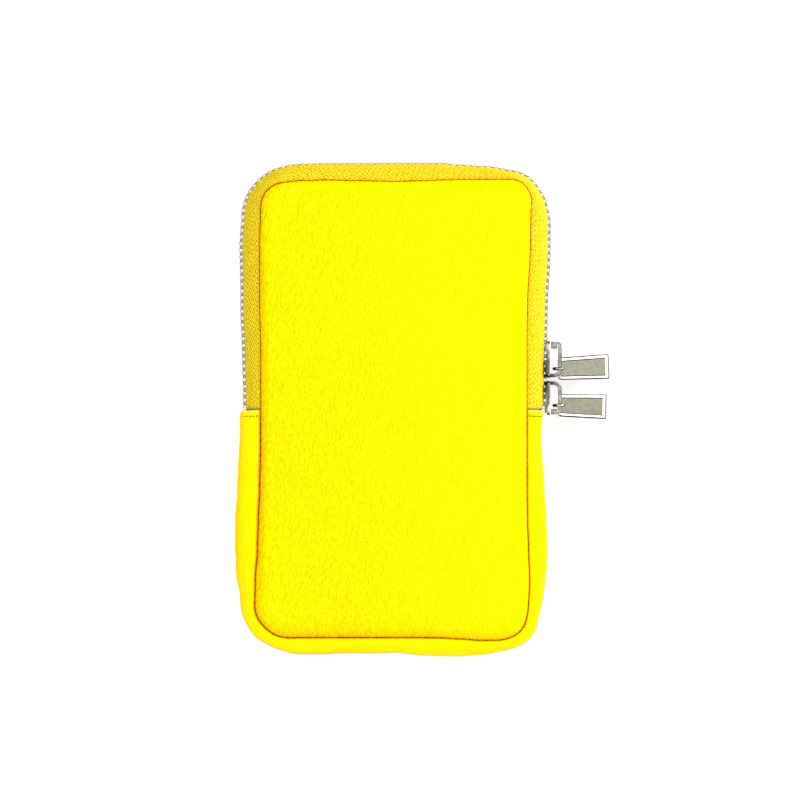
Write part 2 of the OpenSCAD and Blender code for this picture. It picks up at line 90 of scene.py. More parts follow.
# The filled pouch isn't a perfect rectangle. These are the shifts of its seam, and the swelling of
# the walls beyond it, at heights up the pouch and at places across it.
SEAM_Y = (-86, -81, -74, -62, -51, -40, -30, -13, 25, 36, 60, 71, 78, 84)
LEFT_SHIFT = (-1.3, -1.5, -1.8, -1.5, -0.7, -0.4, 0.1, 0.4, 0.4, 0, 0, 0.3, 0.5, 0.5)
RIGHT_SHIFT = (1.1, 0.9, -0.1, 0.4, 0, -0.4, -0.5, -0.5, -0.5, -0.4, 0.7, 0.9, 1.3, 1.6)
WALL_Y = (-84, -68, -62, -57, -51, -40, -30, -21, -12, -6, -2, -0.4, 1.4, 31, 41, 60, 74)
LEFT_SWELL = (
    0.8, 0.78, 0.93, 1.01, 1.12, 1.16, 1.14, 1.09, 1.04, 1.03, 1, 0.97, 0.97, 1.07, 1.07, 1.12,
    1.05,
)
RIGHT_SWELL = (
    0.7, 0.73, 0.77, 0.88, 0.93, 0.97, 0.88, 0.78, 0.71, 0.74, 0.78, 0.83, 1.1, 1.14, 1.16, 1.14,
    1.12,
)
SEAM_X = (-48, -42, -34, -25, -15, 0, 10, 17, 24, 31, 39, 46, 50)
TOP_SHIFT = (-0.9, -0.9, -0.2, 0, -0.2, -0.5, -0.3, 0, 0.2, 0.2, 0.2, 0.8, 0.9)
BOTTOM_SHIFT = (0.2, 0, 0.2, 0.2, 0.2, 0.2, 0.2, 0.1, -0.3, -0.8, -0.8, -1, -0.9)
TOP_SWELL = (1, 1, 0.98, 0.98, 1.02, 1.08, 1.05, 1, 0.86, 0.78, 0.72, 0.76, 0.9)
BOTTOM_SWELL = (0.95, 0.95, 1.07, 1.1, 1.02, 0.98, 1.14, 1.14, 1.12, 0.96, 0.8, 0.8, 0.9)


def settled(x, y):
    """Where a point of the true plan comes to lie on the filled pouch."""
    shift = eased(SEAM_Y, RIGHT_SHIFT if x > 0 else LEFT_SHIFT, y)
    swell = eased(WALL_Y, RIGHT_SWELL if x > 0 else LEFT_SWELL, y)
    lift = eased(SEAM_X, TOP_SHIFT if y > 0 else BOTTOM_SHIFT, x)
    rise = eased(SEAM_X, TOP_SWELL if y > 0 else BOTTOM_SWELL, x)
    beyond_x = math.copysign(max(abs(x) - HALF_W, 0), x)
    beyond_y = math.copysign(max(abs(y) - HALF_L, 0), y)
    return (
        x + shift * min(abs(x) / HALF_W, 1) ** 2 + beyond_x * (swell - 1),
        y + lift * min(abs(y) / HALF_L, 1) ** 4 + beyond_y * (rise - 1),
    )


def arc_point(x, y, r, degrees):
    """A point on the arc about x, y."""
    a = math.radians(degrees)
    return x + r * math.cos(a), y + r * math.sin(a)


def rounded_plan(u, v, half_w, half_l):
    """The point of a rounded rectangle for a point of a square from -1 to 1. Rings stay rings."""
    m = max(abs(u), abs(v))
    if m == 0:
        return 0.0, 0.0
    s, t = u / m, v / m
    if abs(s) > abs(t) - 1e-9:
        low, high = BOTTOM_R * math.pi / 4, TOP_R * math.pi / 4
        run = 2 * half_l - TOP_R - BOTTOM_R
        p = (t + 1) / 2 * (low + run + high)
        if p < low:
            x, y = arc_point(half_w - BOTTOM_R, BOTTOM_R - half_l, BOTTOM_R, 45 * (p / low - 1))
        elif p < low + run:
            x, y = half_w, BOTTOM_R - half_l + p - low
        else:
            x, y = arc_point(half_w - TOP_R, half_l - TOP_R, TOP_R, 45 * (p - low - run) / high)
        x = math.copysign(x, s)
    else:
        r = TOP_R if t > 0 else BOTTOM_R
        quarter = r * math.pi / 4
        run = 2 * (half_w - r)
        p = (1 - abs(s)) * (2 * quarter + run) / 2
        if p < quarter:
            x, y = arc_point(half_w - r, half_l - r, r, 45 + 45 * p / quarter)
        else:
            x, y = half_w - r - (p - quarter), half_l
        x, y = math.copysign(x, s), math.copysign(y, t)
    return x * m, y * m


def from_edge(x, y):
    """Distance in from the edge of the panel's true plan."""
    r = TOP_R if y > 0 else BOTTOM_R
    dx, dy = abs(x) - HALF_W + r, abs(y) - HALF_L + r
    return r - math.hypot(max(dx, 0), max(dy, 0)) - min(max(dx, dy), 0)


def rolled(d, width):
    """How far up its roll an edge is at a distance from the seam, from 0 to 1."""
    s = min(max(d / width, 0), 1)
    return math.sqrt(1 - (1 - s) ** 2)


def domed(x, y):
    """The slow rise to the middle of the panel, from 0 to 1."""
    return (1 - (x / HALF_W) ** 2) * (1 - (y / HALF_L) ** 2)


def panel_grid(steps, inset):
    """A square grid laid out as the panel, with its rings closer together towards the edge."""
    bm = bmesh.new()
    bmesh.ops.create_grid(bm, x_segments=steps, y_segments=steps, size=1)
    for v in bm.verts:
        m = max(abs(v.co.x), abs(v.co.y))
        k = (1 - (1 - min(m, 1)) ** EDGE_POWER) / m if m > 1e-6 else 0
        v.co.x, v.co.y = rounded_plan(v.co.x * k, v.co.y * k, HALF_W - inset, HALF_L - inset)
    bm.verts.index_update()
    return bm


def only(kind, geom):
    """The vertices, edges or faces out of what an operator made."""
    return [g for g in geom if isinstance(g, kind)]


def turned_in(bm, side):
    """Carries a panel's edge down into its seam and out under the next piece, as its allowance."""
    rim = [e for e in bm.edges if e.is_boundary]
    for down, out in ((SEAM_DEPTH, 0), (0, SEAM_ALLOWANCE)):
        made = bmesh.ops.extrude_edge_only(bm, edges=rim)["geom"]
        for v in only(BMVert, made):
            v.co.x *= 1 + out / HALF_W
            v.co.y *= 1 + out / HALF_L
            v.co.z -= side * down
        rim = [e for e in only(BMEdge, made) if e.is_boundary]
    bm.verts.index_update()


def mark(bm, name, values):
    """Keeps a number for each vertex that the material reads."""
    layer = bm.verts.layers.float.new(name)
    for v in bm.verts:
        v[layer] = values[v.index]


def finished(bm, name, material, smooth=True):
    """Turns a bmesh in millimetres into a piece in metres."""
    bmesh.ops.scale(bm, vec=(MM, MM, MM), verts=bm.verts)
    mesh = bpy.data.meshes.new(name)
    bm.to_mesh(mesh)
    bm.free()
    piece = bpy.data.objects.new(name, mesh)
    bpy.context.scene.collection.objects.link(piece)
    mesh.materials.append(material)
    if smooth:
        mesh.shade_smooth()
    return piece


def cut_sheet(bm, name, material, thickness, place, **marks):
    """A sheet of some thickness, with its places on the flat cut piece in millimetres as its UV."""
    layer = bm.loops.layers.uv.new("UVMap")
    for face in bm.faces:
        for loop in face.loops:
            loop[layer].uv = place[loop.vert.index]
    for label, values in marks.items():
        mark(bm, label, values)
    piece = finished(bm, name, material)
    solid = piece.modifiers.new("Thickness", "SOLIDIFY")
    solid.thickness = thickness * MM
    solid.offset = -1
    return piece


def fed(made, inputs):
    """Sets a node's inputs, as values or as sockets to link."""
    for key, value in inputs.items():
        if isinstance(value, bpy.types.NodeSocket):
            made.id_data.links.new(value, made.inputs[key])
        else:
            made.inputs[key].default_value = value
    return made


def node(tree, kind, inputs=None, **settings):
    """Adds a node with its settings and its inputs."""
    made = tree.nodes.new(kind)
    for key, value in settings.items():
        setattr(made, key, value)
    return fed(made, inputs or {})


def maths(tree, operation, a, b=0.0, c=0.0):
    return node(tree, "ShaderNodeMath", {0: a, 1: b, 2: c}, operation=operation).outputs[0]


def summed(tree, *parts):
    """The sum of some numbers, each times its share."""
    total = 0.0
    for number, share in parts:
        total = maths(tree, "MULTIPLY_ADD", number, share, total)
    return total


def vectored(tree, operation, a, b, second=1):
    return node(tree, "ShaderNodeVectorMath", {0: a, second: b}, operation=operation).outputs[0]


def ramped(tree, value, low, high, to_low=0.0, to_high=1.0):
    """Eases a number from one range to another, and holds it at the ends."""
    inputs = {0: value, "From Min": low, "From Max": high, "To Min": to_low, "To Max": to_high}
    return node(tree, "ShaderNodeMapRange", inputs, interpolation_type="SMOOTHSTEP").outputs[0]


def mixed(tree, share, a, b):
    """Colour a with a share of colour b, by a mix node's colour sockets."""
    return node(tree, "ShaderNodeMix", {0: share, 6: a, 7: b}, data_type="RGBA").outputs[2]


def noised(tree, place, scale, detail=2.0, output="Fac", **more):
    inputs = {"Vector": place, "Scale": scale, "Detail": detail, **more}
    return node(tree, "ShaderNodeTexNoise", inputs).outputs[output]


def wandering(tree, place, scale, detail, reach):
    """The place pushed about, so that what is laid on it doesn't run straight."""
    cloud = noised(tree, place, scale, detail, "Color")
    centred = vectored(tree, "SUBTRACT", cloud, (0.5, 0.5, 0.5))
    return vectored(tree, "ADD", place, vectored(tree, "SCALE", centred, reach, "Scale"))


def bumped(tree, height, rise, strength):
    """The normal of a height, which stands for so many millimetres."""
    inputs = {"Height": height, "Distance": rise * MM, "Strength": strength}
    return node(tree, "ShaderNodeBump", inputs).outputs[0]


def marked(tree, name):
    return node(tree, "ShaderNodeAttribute", attribute_name=name).outputs["Fac"]


def cut_place(tree):
    """The place on the flat cut piece, in millimetres."""
    return node(tree, "ShaderNodeUVMap", uv_map="UVMap").outputs[0]


def new_material(name):
    material = bpy.data.materials.new(name)
    material.use_nodes = True
    return material, material.node_tree, material.node_tree.nodes["Principled BSDF"]


def new_group(name, numbers, outputs):
    """An empty shader group that takes a place and some numbers, and puts out numbers."""
    group = bpy.data.node_groups.new(name, "ShaderNodeTree")
    sockets = group.interface
    sockets.new_socket(name="Place", in_out="INPUT", socket_type="NodeSocketVector")
    for label, value in numbers.items():
        made = sockets.new_socket(name=label, in_out="INPUT", socket_type="NodeSocketFloat")
        made.default_value = value
    for label in outputs:
        sockets.new_socket(name=label, in_out="OUTPUT", socket_type="NodeSocketFloat")
    return group, group.nodes.new("NodeGroupInput").outputs, group.nodes.new("NodeGroupOutput")


def grouped(tree, group, inputs):
    """What a use of a shared group puts out."""
    return node(tree, "ShaderNodeGroup", inputs, node_tree=group).outputs


# The grain of the hide: pebbles drawn out along a lean, with finer ones between them, and creases
# that gather in patches. It puts out a height, a mask of its furrows and one of its creases.
grain, g_in, g_out = new_group(
    "pebbled grain", {"Pebble": 0.85, "Lean": 0.45, "Stretch": 0.42}, ("Height", "Furrow", "Crease")
)
g_bent = wandering(grain, g_in["Place"], 0.11, 3.0, 3.0)
g_turned = node(
    grain, "ShaderNodeVectorRotate",
    {"Vector": g_bent, "Axis": (0, 0, 1), "Angle": g_in["Lean"]}, rotation_type="AXIS_ANGLE",
)
g_split = node(grain, "ShaderNodeSeparateXYZ", {0: g_turned.outputs[0]}).outputs


def drawn_out(share):
    """The place squeezed along the lean, so that what is laid on it comes out longer."""
    along = maths(grain, "MULTIPLY", g_split["Y"], share)
    return node(grain, "ShaderNodeCombineXYZ", {"X": g_split["X"], "Y": along}).outputs[0]


g_scale = maths(grain, "DIVIDE", 1.0, g_in["Pebble"])
g_cells = node(
    grain, "ShaderNodeTexVoronoi",
    {"Vector": drawn_out(g_in["Stretch"]), "Scale": g_scale, "Randomness": 1.0, "Smoothness": 0.35},
    feature="SMOOTH_F1", voronoi_dimensions="2D",
).outputs["Distance"]
g_pebble = ramped(grain, g_cells, 0.15, 0.75, 1.0, 0.0)
g_small = noised(grain, drawn_out(0.4), maths(grain, "MULTIPLY", g_scale, 1.1))
g_stroke = noised(grain, drawn_out(0.32), maths(grain, "MULTIPLY", g_scale, 1.2))
g_furrow = ramped(grain, summed(grain, (g_stroke, 1.0), (g_cells, 0.25)), 0.54, 0.72)
g_line = ramped(grain, noised(grain, drawn_out(0.17), 0.42, 1.5, Roughness=0.5), 0.5, 0.62)
g_patch = ramped(grain, noised(grain, g_in["Place"], 0.05), 0.36, 0.62)
g_crease = maths(grain, "MULTIPLY", g_line, g_patch)
g_height = summed(grain, (g_pebble, 0.55), (g_small, 0.35), (g_furrow, -0.2), (g_crease, -0.4))
fed(g_out, {"Height": g_height, "Furrow": g_furrow, "Crease": g_crease})

# painted shade: the colours painted into the grain's furrows and creases, and the share of crease
# shade
FURROW_SHADE_COLOR, CREASE_SHADE_COLOR, CREASE_SHADE_SHARE = (0.55, 0.5, 0.0004, 1), (0.9, 0.46, 0.0005, 1), 0.2


def leather(name, lean, depth, furrow_shade, low_color, high_color, shade_color):
    """Yellow hide with painted shade: its furrows and creases are painted darker, and a vertex mask
    paints a deeper orange shade into its seam valleys and shaded sides.
    """
    material, tree, shader = new_material(name)
    place = cut_place(tree)
    grained = grouped(tree, grain, {"Place": place, "Lean": lean})
    tone = ramped(tree, noised(tree, place, 0.03, 3.0), 0.3, 0.7)
    across = node(tree, "ShaderNodeSeparateXYZ", {0: place}).outputs["X"]
    # painted shade: the furrows are painted darker on the left, away from the lamp, than on the
    # right
    share = ramped(tree, across, -35, 40, furrow_shade, furrow_shade * 0.4)
    marks = maths(tree, "MULTIPLY", grained["Furrow"], share)
    furrowed = mixed(tree, marks, mixed(tree, tone, low_color, high_color), FURROW_SHADE_COLOR)
    # painted shade in the creases
    creases = maths(tree, "MULTIPLY", grained["Crease"], CREASE_SHADE_SHARE)
    shaded_creases = mixed(tree, creases, furrowed, CREASE_SHADE_COLOR)
    fed(shader, {
        # painted shade from the vertex mask: deeper orange in the seam valleys and on shaded sides
        "Base Color": mixed(tree, marked(tree, "valley"), shaded_creases, shade_color),
        "Roughness": ramped(tree, grained["Height"], -0.2, 0.8, 0.68, 0.52),
        "Specular IOR Level": 0.012,
        "Normal": bumped(tree, grained["Height"], depth, 0.9),
    })
    return material


panel_leather = leather(
    "panel leather", 0.3, 0.28, 0.6,
    (0.78, 0.68, 0.0005, 1), (0.8, 0.72, 0.0005, 1), (0.97, 0.33, 0.0005, 1),
)


def puffed(x, y):
    """Slow swells of the padded panel, and the creases that run up it near its left and top."""
    swell = PUFF_H * noise.noise(Vector((x * 0.035, y * 0.028, 3.1)))
    across, along = x * 0.95 - y * 0.3, x * 0.3 + y * 0.95
    line = noise.noise(Vector((across * 0.3, along * 0.055, 7.7)))
    folds = max(1 - abs(line) * 5, 0) ** 2
    left = eased((-49, -38, 5), (1, 1, 0.15), x)
    high = eased((40, 80), (0, 0.7), y)
    return swell - CREASE_H * folds * max(left, high)


front = panel_grid(PANEL_STEPS, SEAM_GAP)
turned_in(front, 1)
front_uv, front_valley = {}, {}
for v in front.verts:
    x, y = v.co.x, v.co.y
    d = from_edge(x, y)
    roll = rolled(d, ROLL_W)
    v.co.z += MID_Z + VALLEY_H + ROLL_H * roll + DOME_H * domed(x, y) + puffed(x, y) * roll
    front_uv[v.index] = (x, y)
    # painted shade: deeper orange in the seam valley all round, on the left roll that faces away
    # from the lamp, and along the bottom
    left = 0.24 * eased((1.5, 3), (1, 0), HALF_W + x) * eased((25, 75), (1, 0.2), y)
    low = 0.16 * eased((3, 9), (1, 0), HALF_L + y)
    front_valley[v.index] = max(eased((0, 0.25, 0.9), (0.95, 0.3, 0), d), left, low)
    v.co.x, v.co.y = settled(x, y)
front_panel = cut_sheet(
    front, "front_leather", panel_leather, LEATHER_T, front_uv, valley=front_valley
)
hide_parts("front_panel_lower", "front_panel_upper")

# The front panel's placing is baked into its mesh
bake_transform(front_panel)

# BACK PANEL
# The same hide, sewn in the same way. The pouch rests on it, so it has flattened, and only its
# edge rolls up to the seam.
BACK_STEPS, BACK_UV_X = 120, 200
back = panel_grid(BACK_STEPS, SEAM_GAP)
turned_in(back, -1)
back_uv, back_valley = {}, {}
for v in back.verts:
    x, y = v.co.x, v.co.y
    d = from_edge(x, y)
    v.co.z += MID_Z - VALLEY_H - (MID_Z - VALLEY_H) * rolled(d, ROLL_W)
    back_uv[v.index] = (x + BACK_UV_X, y)
    # painted shade, a deeper orange down in the seam valley
    back_valley[v.index] = eased((0, 0.25, 0.9), (0.5, 0.2, 0), d)
    v.co.x, v.co.y = settled(x, y)
bmesh.ops.reverse_faces(back, faces=back.faces)
back_panel = cut_sheet(
    back, "back_leather", panel_leather, LEATHER_T, back_uv, valley=back_valley
)
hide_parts("back_panel")
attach(back_panel, "pouch")

# FOAM INTERLINING
# A sheet of thin open-cell foam behind each panel gives the pouch its padded feel. It shows only
# if the lining is lifted.
FOAM_T, FOAM_DEEP = 1.45, 1.3
PLY_STEPS, PLY_INSET = 60, 1.6
foam, foam_tree, foam_shader = new_material("foam")
foam_cells = node(
    foam_tree, "ShaderNodeTexVoronoi", {"Vector": cut_place(foam_tree), "Scale": 2.2},
    voronoi_dimensions="2D",
).outputs["Distance"]
fed(foam_shader, {
    "Base Color": mixed(foam_tree, foam_cells, (0.62, 0.6, 0.52, 1), (0.9, 0.89, 0.84, 1)),
    "Roughness": 0.9,
    "Normal": bumped(foam_tree, foam_cells, 0.15, 0.7),
})


def ply(name, side, deep, thickness, material):
    """A ply that follows a panel, deep millimetres behind the leather's outside."""
    bm = panel_grid(PLY_STEPS, PLY_INSET)
    place = {}
    for v in bm.verts:
        x, y = v.co.x, v.co.y
        roll = rolled(from_edge(x, y), ROLL_W)
        if side > 0:
            height = VALLEY_H + ROLL_H * roll + DOME_H * domed(x, y) + puffed(x, y) * roll * roll
        else:
            height = VALLEY_H + (MID_Z - VALLEY_H) * roll
        place[v.index] = (x, y)
        v.co.x, v.co.y = settled(x, y)
        v.co.z = MID_Z + side * (height - deep)
    if side < 0:
        bmesh.ops.reverse_faces(bm, faces=bm.faces)
    return cut_sheet(bm, name, material, thickness, place)


front_foam = ply("front_foam", 1, FOAM_DEEP, FOAM_T, foam)
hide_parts("front_padding_lower", "front_padding_upper")
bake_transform(front_foam)
back_foam = ply("back_foam", -1, FOAM_DEEP, FOAM_T, foam)
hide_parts("back_padding")
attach(back_foam, "pouch")

# LINING
# Plain-woven polyester in a dark brown grey, one piece behind each panel and one round the
# gusset. It is what shows when the zip is open.
LINING_T, LINING_DEEP = 0.35, 2.85


def ridged(tree, value, pitch):
    """Round ridges, one to each pitch."""
    wave = maths(tree, "SINE", maths(tree, "MULTIPLY", value, math.pi / pitch))
    return maths(tree, "ABSOLUTE", wave)


weave, w_in, w_out = new_group("plain weave", {"Threads": 3.0}, ("Height",))
w_split = node(weave, "ShaderNodeSeparateXYZ", {0: w_in["Place"]}).outputs
w_across, w_along = (maths(weave, "MULTIPLY", w_split[axis], w_in["Threads"]) for axis in "XY")
w_square = maths(weave, "ADD", maths(weave, "FLOOR", w_across), maths(weave, "FLOOR", w_along))
w_over = node(weave, "ShaderNodeMix", {
    "Factor": maths(weave, "FLOORED_MODULO", w_square, 2.0),
    "A": ridged(weave, w_across, 1),
    "B": ridged(weave, w_along, 1),
})
fed(w_out, {"Height": w_over.outputs[0]})

lining, lining_tree, lining_shader = new_material("lining cloth")
lining_weave = grouped(lining_tree, weave, {"Place": cut_place(lining_tree)})["Height"]
fed(lining_shader, {
    "Base Color": mixed(lining_tree, lining_weave, (0.02, 0.016, 0.013, 1), (0.06, 0.05, 0.042, 1)),
    "Roughness": 0.6,
    "Sheen Weight": 0.2,
    "Normal": bumped(lining_tree, lining_weave, 0.06, 0.6),
})

front_lining = ply("front_lining_cloth", 1, LINING_DEEP, LINING_T, lining)
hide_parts("front_lining_lower", "front_lining_upper")
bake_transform(front_lining)
back_lining = ply("back_lining_cloth", -1, LINING_DEEP, LINING_T, lining)
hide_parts("back_lining")
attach(back_lining, "pouch")

# GUSSET
# A strip of the same hide runs round the bottom from one side to the other. It is turned through
# the seams, so it bulges outwards, and its two ends are folded under and stitched over the zip.
GUSSET_OUT_SIDE, GUSSET_OUT_END, GUSSET_R = 7.7, 6.2, (23.6, 22.6)
GUSSET_H = 9.5
HEM_Y, HEM_DIP, HEM_L, HEM_T = -0.4, 0.25, 3.2, 0.15
FULLNESS, PUCKER, SEAM_ROLL = 2.8, 0.35, 1.9
RUN_STEPS, WALL_STEPS = (84, 44, 70, 44, 84), 44
INNER_OUT_SIDE, INNER_OUT_END, INNER_R = 5.3, 4.6, (23, 22)
INNER_Y, INNER_H = 1.7, 7.3
INNER_RUN_STEPS, INNER_WALL_STEPS = (24, 16, 20, 16, 24), 24


def full(value, fullness=FULLNESS):
    """A cosine or sine for a section that is fuller than a circle."""
    return math.copysign(abs(value) ** (2 / fullness), value)


def run_point(k, half_w, half_l, radii, y0):
    """A point of the run up the right side, over the end and down the left, for k from 0 to 5."""
    r = radii[0] if k <= 2.5 else radii[1]
    if k <= 1:
        return half_w, y0 + (half_l - r - y0) * k
    if k <= 2:
        return arc_point(half_w - r, half_l - r, r, 90 * (k - 1))
    if k <= 3:
        return (half_w - radii[0]) * (3 - k) - (half_w - radii[1]) * (k - 2), half_l
    if k <= 4:
        return arc_point(r - half_w, half_l - r, r, 90 * (k - 2))
    return -half_w, y0 + (half_l - r - y0) * (5 - k)


def wall_grid(
    steps, around, seam_r, outer, y0, angles, half_h, sign_y, hem=0, pucker=0, fullness=FULLNESS
):
    """A wall from seam to seam. Angles run round its section, 90 at the front. Also gives each
    vertex's place on the flat cut piece, and its distances out, up or down, and from the end."""
    stations = [s + i / n for s, n in enumerate(steps) for i in range(n)] + [len(steps)]
    out_side, out_end, outer_r = outer
    bm = bmesh.new()
    bmesh.ops.create_grid(bm, x_segments=len(stations) - 1, y_segments=around, size=0.5)
    bm.verts.index_update()
    place, section, along = {}, {}, [0.0]
    rim = [run_point(k, HALF_W + out_side, HALF_L + out_end, outer_r, y0) for k in stations]
    for a, b in zip(rim, rim[1:]):
        along.append(along[-1] + math.hypot(b[0] - a[0], b[1] - a[1]))
    for v in bm.verts:
        i = round((v.co.x + 0.5) * (len(stations) - 1))
        t = v.co.y + 0.5
        a = math.radians(angles[0] + (angles[1] - angles[0]) * t)
        sx, sy = run_point(
            stations[i], HALF_W + SEAM_GAP, HALF_L + SEAM_GAP, (seam_r, seam_r), y0
        )
        ox, oy = rim[i]
        reach = math.hypot(ox - sx, oy - sy)
        f = full(math.cos(a), fullness)
        x, y = sx + (ox - sx) * f, sy + (oy - sy) * f
        out = reach * f
        high = half_h * full(math.sin(a), fullness)
        high -= math.copysign((half_h - VALLEY_H) * (1 - rolled(out, SEAM_ROLL)), high)
        if pucker:
            wave = noise.noise(Vector((along[i] * 0.06, high * 0.05, 1.7)))
            gather = noise.noise(Vector((along[i] * 0.3, high * 0.05, 5.3)))
            push = pucker * (wave * min(out, 3) / 3 + 0.35 * gather * min(out, 2) / 2)
            x += push * (ox - sx) / reach
            y += push * (oy - sy) / reach
        end = min(along[i], along[-1] - along[i])
        if hem:
            y += hem * f * max(1 - end / HEM_L, 0)
            folded = eased((HEM_L, HEM_L + 2.5), (1, 0), end)
            x += math.copysign(HEM_T * min(f * 2, 1) * rolled(end, 0.5) * folded, x)
        section[v.index] = (out, abs(high), end)
        place[v.index] = (along[i], high * 0.7 + (8 - out) * (1 if high > 0 else -1))
        v.co = Vector((*settled(x, y * sign_y), MID_Z + high))
    return bm, place, section


gusset, gusset_uv, gusset_section = wall_grid(
    RUN_STEPS, WALL_STEPS, BOTTOM_R, (GUSSET_OUT_SIDE, GUSSET_OUT_END, GUSSET_R),
    -HEM_Y, (90, -90), GUSSET_H, -1, hem=HEM_DIP, pucker=PUCKER,
)
gusset_valley, gusset_hem_highlight = {}, {}
for v in gusset.verts:
    out, high, end = gusset_section[v.index]
    # painted shade: deeper orange on the wall's outer bulge, which turns away, and beside the seam,
    # strongest on the left, away from the lamp
    middle = eased((0, 6.3, 7.4), (0.42, 0.34, 0), high)
    by_seam = eased((0, 0.3, 0.9), (1, 0.35, 0), out)
    lit = eased((-40, 45), (1, 0.15), v.co.x)
    gusset_valley[v.index] = max(middle * lit, by_seam * max(lit, 0.5))
    # a mask of painted highlight along the hem's fold
    gusset_hem_highlight[v.index] = eased((0, 0.4, 0.8), (1, 0.85, 0), end)

gusset_hide = leather(
    "gusset leather", 1.3, 0.18, 0.45,
    (0.94, 0.74, 0.0005, 1), (0.95, 0.8, 0.0005, 1), (0.97, 0.36, 0.0005, 1),
)
gusset_tree = gusset_hide.node_tree
gusset_shader = gusset_tree.nodes["Principled BSDF"]
gusset_color = gusset_shader.inputs["Base Color"].links[0].from_socket
# painted highlight: the hem's rounded fold is painted a pale cream
hem_highlight = mixed(gusset_tree, marked(gusset_tree, "hem"), gusset_color, (0.92, 0.76, 0.24, 1))
fed(gusset_shader, {"Base Color": hem_highlight})

bottom_gusset = cut_sheet(
    gusset, "gusset_leather", gusset_hide, LEATHER_T, gusset_uv, valley=gusset_valley,
    hem=gusset_hem_highlight,
)
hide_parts("bottom_gusset")
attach(bottom_gusset, "pouch")

gusset_back, gusset_back_uv, _ = wall_grid(
    INNER_RUN_STEPS, INNER_WALL_STEPS, BOTTOM_R, (INNER_OUT_SIDE, INNER_OUT_END, INNER_R),
    INNER_Y, (90, -90), INNER_H, -1,
)
gusset_lining = cut_sheet(gusset_back, "gusset_lining_cloth", lining, LINING_T, gusset_back_uv)
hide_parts("gusset_lining")
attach(gusset_lining, "pouch")

# ZIP TAPE
# Two woven polyester tapes in old gold, one sewn to each panel. The herringbone runs along them,
# and the inner edge carries the metal teeth.
TAPE_T, TAPE_H = 0.55, 8.3
TAPE_OUT_SIDE, TAPE_OUT_END, TAPE_R = 6.0, 6.45, (23, 18)
TAPE_LOW_Y, TAPE_A, TAPE_FULLNESS = -5.5, 11.6, 2.2
TAPE_RUN_STEPS, TAPE_WALL_STEPS = (60, 44, 70, 44, 60), 22
herring, h_in, h_out = new_group("herringbone", {"Rib": 1.65, "Column": 1.6}, ("Height", "Rib Top"))
h_bent = wandering(herring, h_in["Place"], 0.7, 2.0, 1.2)
h_split = node(herring, "ShaderNodeSeparateXYZ", {0: h_bent}).outputs
h_turn = maths(herring, "PINGPONG", maths(herring, "ADD", h_split["Y"], 40.0), h_in["Column"])
h_run = maths(herring, "DIVIDE", summed(herring, (h_split["X"], 1.0), (h_turn, 2.0)), h_in["Rib"])
h_wave = maths(herring, "SINE", maths(herring, "MULTIPLY", h_run, 2 * math.pi))
h_rib = ramped(herring, h_wave, -0.7, 0.8)
h_yarn = ridged(herring, h_split["Y"], 0.55)
h_fuzz = ramped(herring, noised(herring, h_in["Place"], 1.6, 3.0), 0.3, 0.7)
h_lit = maths(herring, "MULTIPLY_ADD", h_yarn, 0.4, 0.35)
fed(h_out, {
    "Height": summed(herring, (h_rib, 0.6), (h_yarn, 0.2), (h_fuzz, 0.35)),
    "Rib Top": summed(herring, (h_rib, h_lit), (h_fuzz, 0.5)),
})

tape, tape_tree, tape_shader = new_material("zip tape")
tape_weave = grouped(tape_tree, herring, {"Place": cut_place(tape_tree)})
# painted light and shade on the weave: the rib tops are painted pale and the lows between the ribs
# dark
tape_color = mixed(
    tape_tree, ramped(tape_tree, tape_weave["Rib Top"], 0.3, 0.75),
    (0.42, 0.27, 0.0008, 1), (0.95, 0.71, 0.02, 1),
)
# painted shade: orange next to the seam valley, then dark olive by the teeth and at the hem
tape_color = mixed(tape_tree, marked(tape_tree, "seam"), tape_color, (0.75, 0.36, 0.002, 1))
tape_color = mixed(tape_tree, marked(tape_tree, "valley"), tape_color, (0.26, 0.21, 0.02, 1))
fed(tape_shader, {
    "Base Color": tape_color,
    "Roughness": 0.7,
    "Specular IOR Level": 0.05,
    "Normal": bumped(tape_tree, tape_weave["Height"], 0.16, 0.9),
})


def tape_half(name, side):
    """One of the two tapes, with painted shade along its seam, by the teeth and where the hem
    covers it.
    """
    angles = (90, TAPE_A) if side > 0 else (-TAPE_A, -90)
    bm, place, section = wall_grid(
        TAPE_RUN_STEPS, TAPE_WALL_STEPS, TOP_R, (TAPE_OUT_SIDE, TAPE_OUT_END, TAPE_R),
        TAPE_LOW_Y, angles, TAPE_H, 1, fullness=TAPE_FULLNESS,
    )
    valley, seam = {}, {}
    for i, (out, high, end) in section.items():
        # painted shade by the teeth and at the hem's edge
        by_hem = eased((4.9, 5.4, 6.1), (1, 0.9, 0), end)
        valley[i] = max(eased((2.2, 3.2), (1, 0), high), by_hem)
        seam[i] = eased((0, 0.8), (0.8, 0), out)
    bmesh.ops.reverse_faces(bm, faces=bm.faces)
    return cut_sheet(bm, name, tape, TAPE_T, place, valley=valley, seam=seam)


front_tape = tape_half("front_zip_tape", 1)
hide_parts("zip_tape_front_lower", "zip_tape_front_upper")
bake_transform(front_tape)
back_tape = tape_half("back_zip_tape", -1)
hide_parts("zip_tape_back")
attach(back_tape, "pouch")

